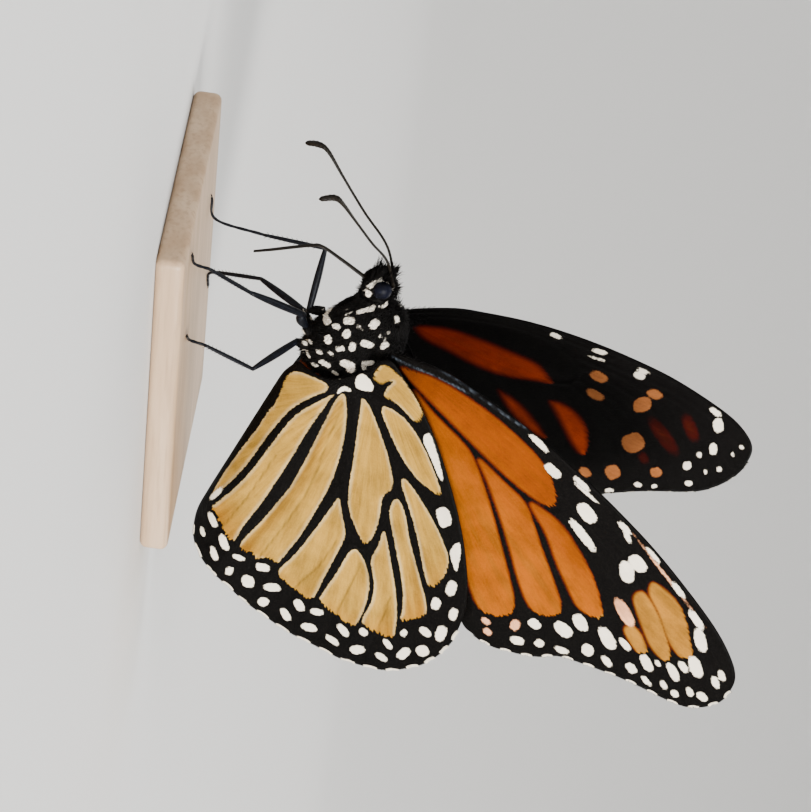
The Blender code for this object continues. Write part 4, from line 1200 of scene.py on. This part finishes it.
# Toward its outer margin near the back the hind wing goes over to its Far and Tip colours, which on the
# under face are darker: partly its own deeper orange, partly painted shade. Along the fold it goes the same
# way, as painted shade.
to_margin = distance_to(hind_sheet[0], smooth_path(HIND_OUTLINE[8:25], 6))
fold_shade = near_lines(hind_sheet[0], [HIND_FOLD_SHADE], 0.9)
warmth_and_shade = np.clip(1.8 - to_margin / 4.5, 0.0, 1.6) * np.clip(back / 10.0 - 1.4, 0.0, 1.0) + 0.5 * fold_shade
hind_faces = {
    "under": wing_values(hind_sheet[0], HIND_CELLS, HIND_SPOTS, HIND_PATCHES, [], warmth_and_shade, HIND_CREASES, []),
    "upper": wing_values(hind_sheet[0], HIND_CELLS[2:], HIND_SPOTS, [], [], warmth_and_shade, HIND_CREASES, [])}
# painted shade along the fold
hind_faces["under"]["painted_shade"] = np.maximum(hind_faces["under"]["painted_shade"], 0.62 * fold_shade)
WINGS = (("fore", fore_sheet, fore_faces, [FORE_UNDER, FORE_UPPER]),
         ("hind", hind_sheet, hind_faces, [HIND_UNDER, HIND_UPPER]))
for side, word in SIDES:
    for kind, sheet, faces_of, finishes in WINGS:
        add_wing(kind, word, sheet, side, faces_of, finishes)
    for kind, sheet, _, _ in WINGS:
        add_fringe(kind, word, sheet, side, FRINGE)
    for kind, sheet, faces_of, _ in WINGS:
        add_root_hair(kind, word, sheet, side, faces_of, SCALES)

# The body is one skin from the face to the tail; the wings' roots swell out of its sides
lobes = [rounded_body(THORAX), rounded_body(ABDOMEN),
         ball(HEAD_CENTRE, np.array(HEAD_RADII) - COAT * 0.8), ball((-4.2, 0.0, -4.2), (1.1, 1.1, 1.05)),
         tube([(-5.4, 0, -3.4), (-4.2, 0, -3.3), (-2.4, 0, -3.0)], [1.1, 1.15, 1.3], 24)]
for side, _ in SIDES:
    lobes += [ball((0.9, side * 2.35, -0.5), (1.5, 0.75, 1.3)),
              ball((5.6, side * 2.6, -1.8), (1.6, 0.85, 1.9))]
skin, middles, normals = add_skin("body_skin", lobes, SCALES)
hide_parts("head", "thorax", "abdomen")

on_head, on_tail = middles[:, 0] < HEAD_BACK, middles[:, 0] > TAIL_START
to_eye = (to_right(middles) - EYE_CENTRE) / EYE_RADII
clear_of_eye = np.linalg.norm(to_eye, axis=1) > 1.0
for name, chosen, density in (("head_coat", on_head & clear_of_eye, 44.0),
                              ("thorax_coat", ~on_head & ~on_tail, 34.0), ("abdomen_coat", on_tail, 24.0)):
    roots, out = thin_out(middles[chosen], normals[chosen], density)
    if name == "head_coat":
        tuft = (roots[:, 0] < -6.2) & (np.abs(roots[:, 1]) < 0.8) & (np.abs(roots[:, 2] + 3.6) < 0.9)
        roots, out = (np.vstack([rows] + 3 * [rows[tuft]]) for rows in (roots, out))
        roots += CHANCE.normal(0.0, 0.05, roots.shape)
    x, y, z = roots.T
    front = np.clip((-2.2 - x) / 1.5, 0.0, 1.0) * (x > HEAD_BACK)
    collar = np.clip((-1.4 - x) / 1.2, 0.0, 1.0) * (x > HEAD_BACK) * np.clip((z + 1.6) / 0.8, 0.0, 1.0)
    below = np.clip((-6.0 - z) / 1.0, 0.0, 1.0)
    brow = np.clip((-5.9 - x) / 0.5, 0.0, 1.0) * np.clip((1.1 - np.abs(y)) / 0.4, 0.0, 1.0) * (z > -5.0)
    crown = np.clip((z + 2.8) / 0.6, 0.0, 1.0)
    nape = np.clip((x + 5.4) / 0.6, 0.0, 1.0) * (x < HEAD_BACK)
    if name == "head_coat":
        lie = np.stack([-0.6 - brow, 0.0 * y, 0.5 - 0.15 * brow], 1)
        length = 0.55 + 1.7 * brow ** 2 * (z < -2.9) + 0.45 * crown - 0.2 * nape * (1.0 - crown)
        width, rise = 0.085 + 0.03 * brow, 38.0 + 36.0 * np.maximum(brow, crown)
    elif name == "thorax_coat":
        lie = np.stack([1.0 - 0.5 * below - 0.8 * front, 0.0 * y, -0.45 - 0.5 * below], 1)
        length = 0.65 + 0.25 * front + 0.15 * below + 0.35 * collar
        width, rise = 0.095, 30.0 + 18.0 * front + 14.0 * collar
    else:
        lie = np.stack([0.0 * x + 1.0, 0.0 * y, 0.0 * z - 0.1], 1)
        length, width, rise = 0.45 + 0.0 * x, 0.15, 16.0
    add_coat(name, roots, out, lie, length, width, rise, SCALES)

for side, word in SIDES:
    points, faces = ball(np.array(EYE_CENTRE) * (1, side, 1), EYE_RADII, 48, 32)
    eye = add_piece(word + "_eye", to_row(points), outward(points, faces), [EYE])
    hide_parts("eye_" + word)
    add_antenna(word, BROWN_HORN)
    add_furry_rod(word + "_palp", PALP, side, 0.42, "palp_" + word, SCALES)
    add_furry_rod(word + "_foreleg", FORELEG, side, 0.42, "leg_fore_" + word, SCALES)
add_proboscis(BROWN_HORN)
for name in LEGS:
    add_leg(name, HORN, SCALES)

# ---------------------------------------------------------------- base

bpy.ops.object.select_all(action="DESELECT")
bpy.ops.mesh.primitive_cube_add(size=1.0, location=(0.0, 0.0, 0.0))
base = bpy.context.object
base.name = "wooden_base"
bpy.ops.object.mode_set(mode="EDIT")
bpy.ops.mesh.select_all(action="SELECT")
bpy.ops.transform.resize(value=tuple((BASE_HIGH - BASE_LOW) * MM))
bpy.ops.transform.translate(value=tuple((BASE_HIGH + BASE_LOW) / 2 * MM))
bpy.ops.mesh.bevel(offset=0.8 * MM, segments=5, affect="EDGES")
bpy.ops.object.mode_set(mode="OBJECT")
bpy.ops.object.shade_smooth_by_angle(angle=math.radians(40))
base.data.materials.clear()
base.data.materials.append(WOOD)
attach(base, "root")
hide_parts("stand_base")

# ---------------------------------------------------------------- room, light and camera

FLOOR_REACH, ROOM_REACH, ROOM_HEIGHT = 0.9, 1.6, 1.4
profile = [(0.0, 0.0), (FLOOR_REACH * 0.5, 0.0), (FLOOR_REACH, 0.0)]
for step in range(1, 13):
    angle = step / 12 * math.pi / 2
    profile.append((FLOOR_REACH + (ROOM_REACH - FLOOR_REACH) * math.sin(angle),
                    (ROOM_REACH - FLOOR_REACH) * (1 - math.cos(angle))))
profile.append((ROOM_REACH, ROOM_HEIGHT))
work = bmesh.new()
corners = [work.verts.new((radius, 0.0, height)) for radius, height in profile]
for first, second in zip(corners, corners[1:]):
    work.edges.new((first, second))
bmesh.ops.spin(work, geom=work.verts[:] + work.edges[:], cent=(0, 0, 0), axis=(0, 0, 1),
               angle=2 * math.pi, steps=64, use_merge=True)
bmesh.ops.remove_doubles(work, verts=work.verts, dist=0.00001)
bmesh.ops.recalc_face_normals(work, faces=work.faces)
mesh = bpy.data.meshes.new("studio_floor")
work.to_mesh(mesh)
work.free()
mesh.shade_smooth()
floor = bpy.data.objects.new("studio_floor", mesh)
bpy.context.scene.collection.objects.link(floor)
mesh.materials.append(new_material("pale floor", (0.68, 0.675, 0.66), 0.8)[0])

world = bpy.data.worlds.new("soft room")
bpy.context.scene.world = world
world.use_nodes = True
world.node_tree.nodes["Background"].inputs["Color"].default_value = (0.94, 0.96, 1.0, 1.0)
world.node_tree.nodes["Background"].inputs["Strength"].default_value = 0.42

MIDDLE = Vector(HINGES * MM)
for name, place, size, power, colour in (
        ("key", (0.15, -0.97, 0.27), 0.4, 26.0, (1.0, 0.98, 0.95)),
        ("fill", (-0.80, -0.50, 0.40), 0.7, 5.0, (0.94, 0.97, 1.0)),
        ("back", (0.85, 0.35, 0.75), 0.6, 8.0, (1.0, 0.98, 0.95)),
        ("top", (-0.05, 0.10, 1.15), 0.7, 5.0, (1.0, 1.0, 1.0))):
    lamp = bpy.data.lights.new(name, "AREA")
    lamp.shape = "DISK"
    lamp.size = size
    lamp.energy = power
    lamp.color = colour
    light = bpy.data.objects.new(name, lamp)
    light.location = MIDDLE + Vector(place)
    light.rotation_euler = Vector(place).to_track_quat("Z", "Y").to_euler()
    bpy.context.scene.collection.objects.link(light)

CAMERA_DISTANCE = 0.4489
# The camera looks at the butterfly's left front, a little from above, and lies on its side, as the
# butterfly would if its floor stood upright
toward = Vector((-0.694, -0.720, 0.025)).normalized()
right = Vector((-0.081, 0.112, 0.990))
right = (right - toward * right.dot(toward)).normalized()
upward = toward.cross(right)
lens = bpy.data.cameras.new("camera")
lens.lens = 190.5
lens.shift_x, lens.shift_y = 0.0112, -0.0917
lens.clip_start, lens.clip_end = 0.01, 20.0
camera = bpy.data.objects.new("camera", lens)
turned = Matrix((right, upward, toward)).transposed().to_4x4()
camera.matrix_world = Matrix.Translation(MIDDLE + toward * CAMERA_DISTANCE) @ turned
bpy.context.scene.collection.objects.link(camera)
bpy.context.scene.camera = camera
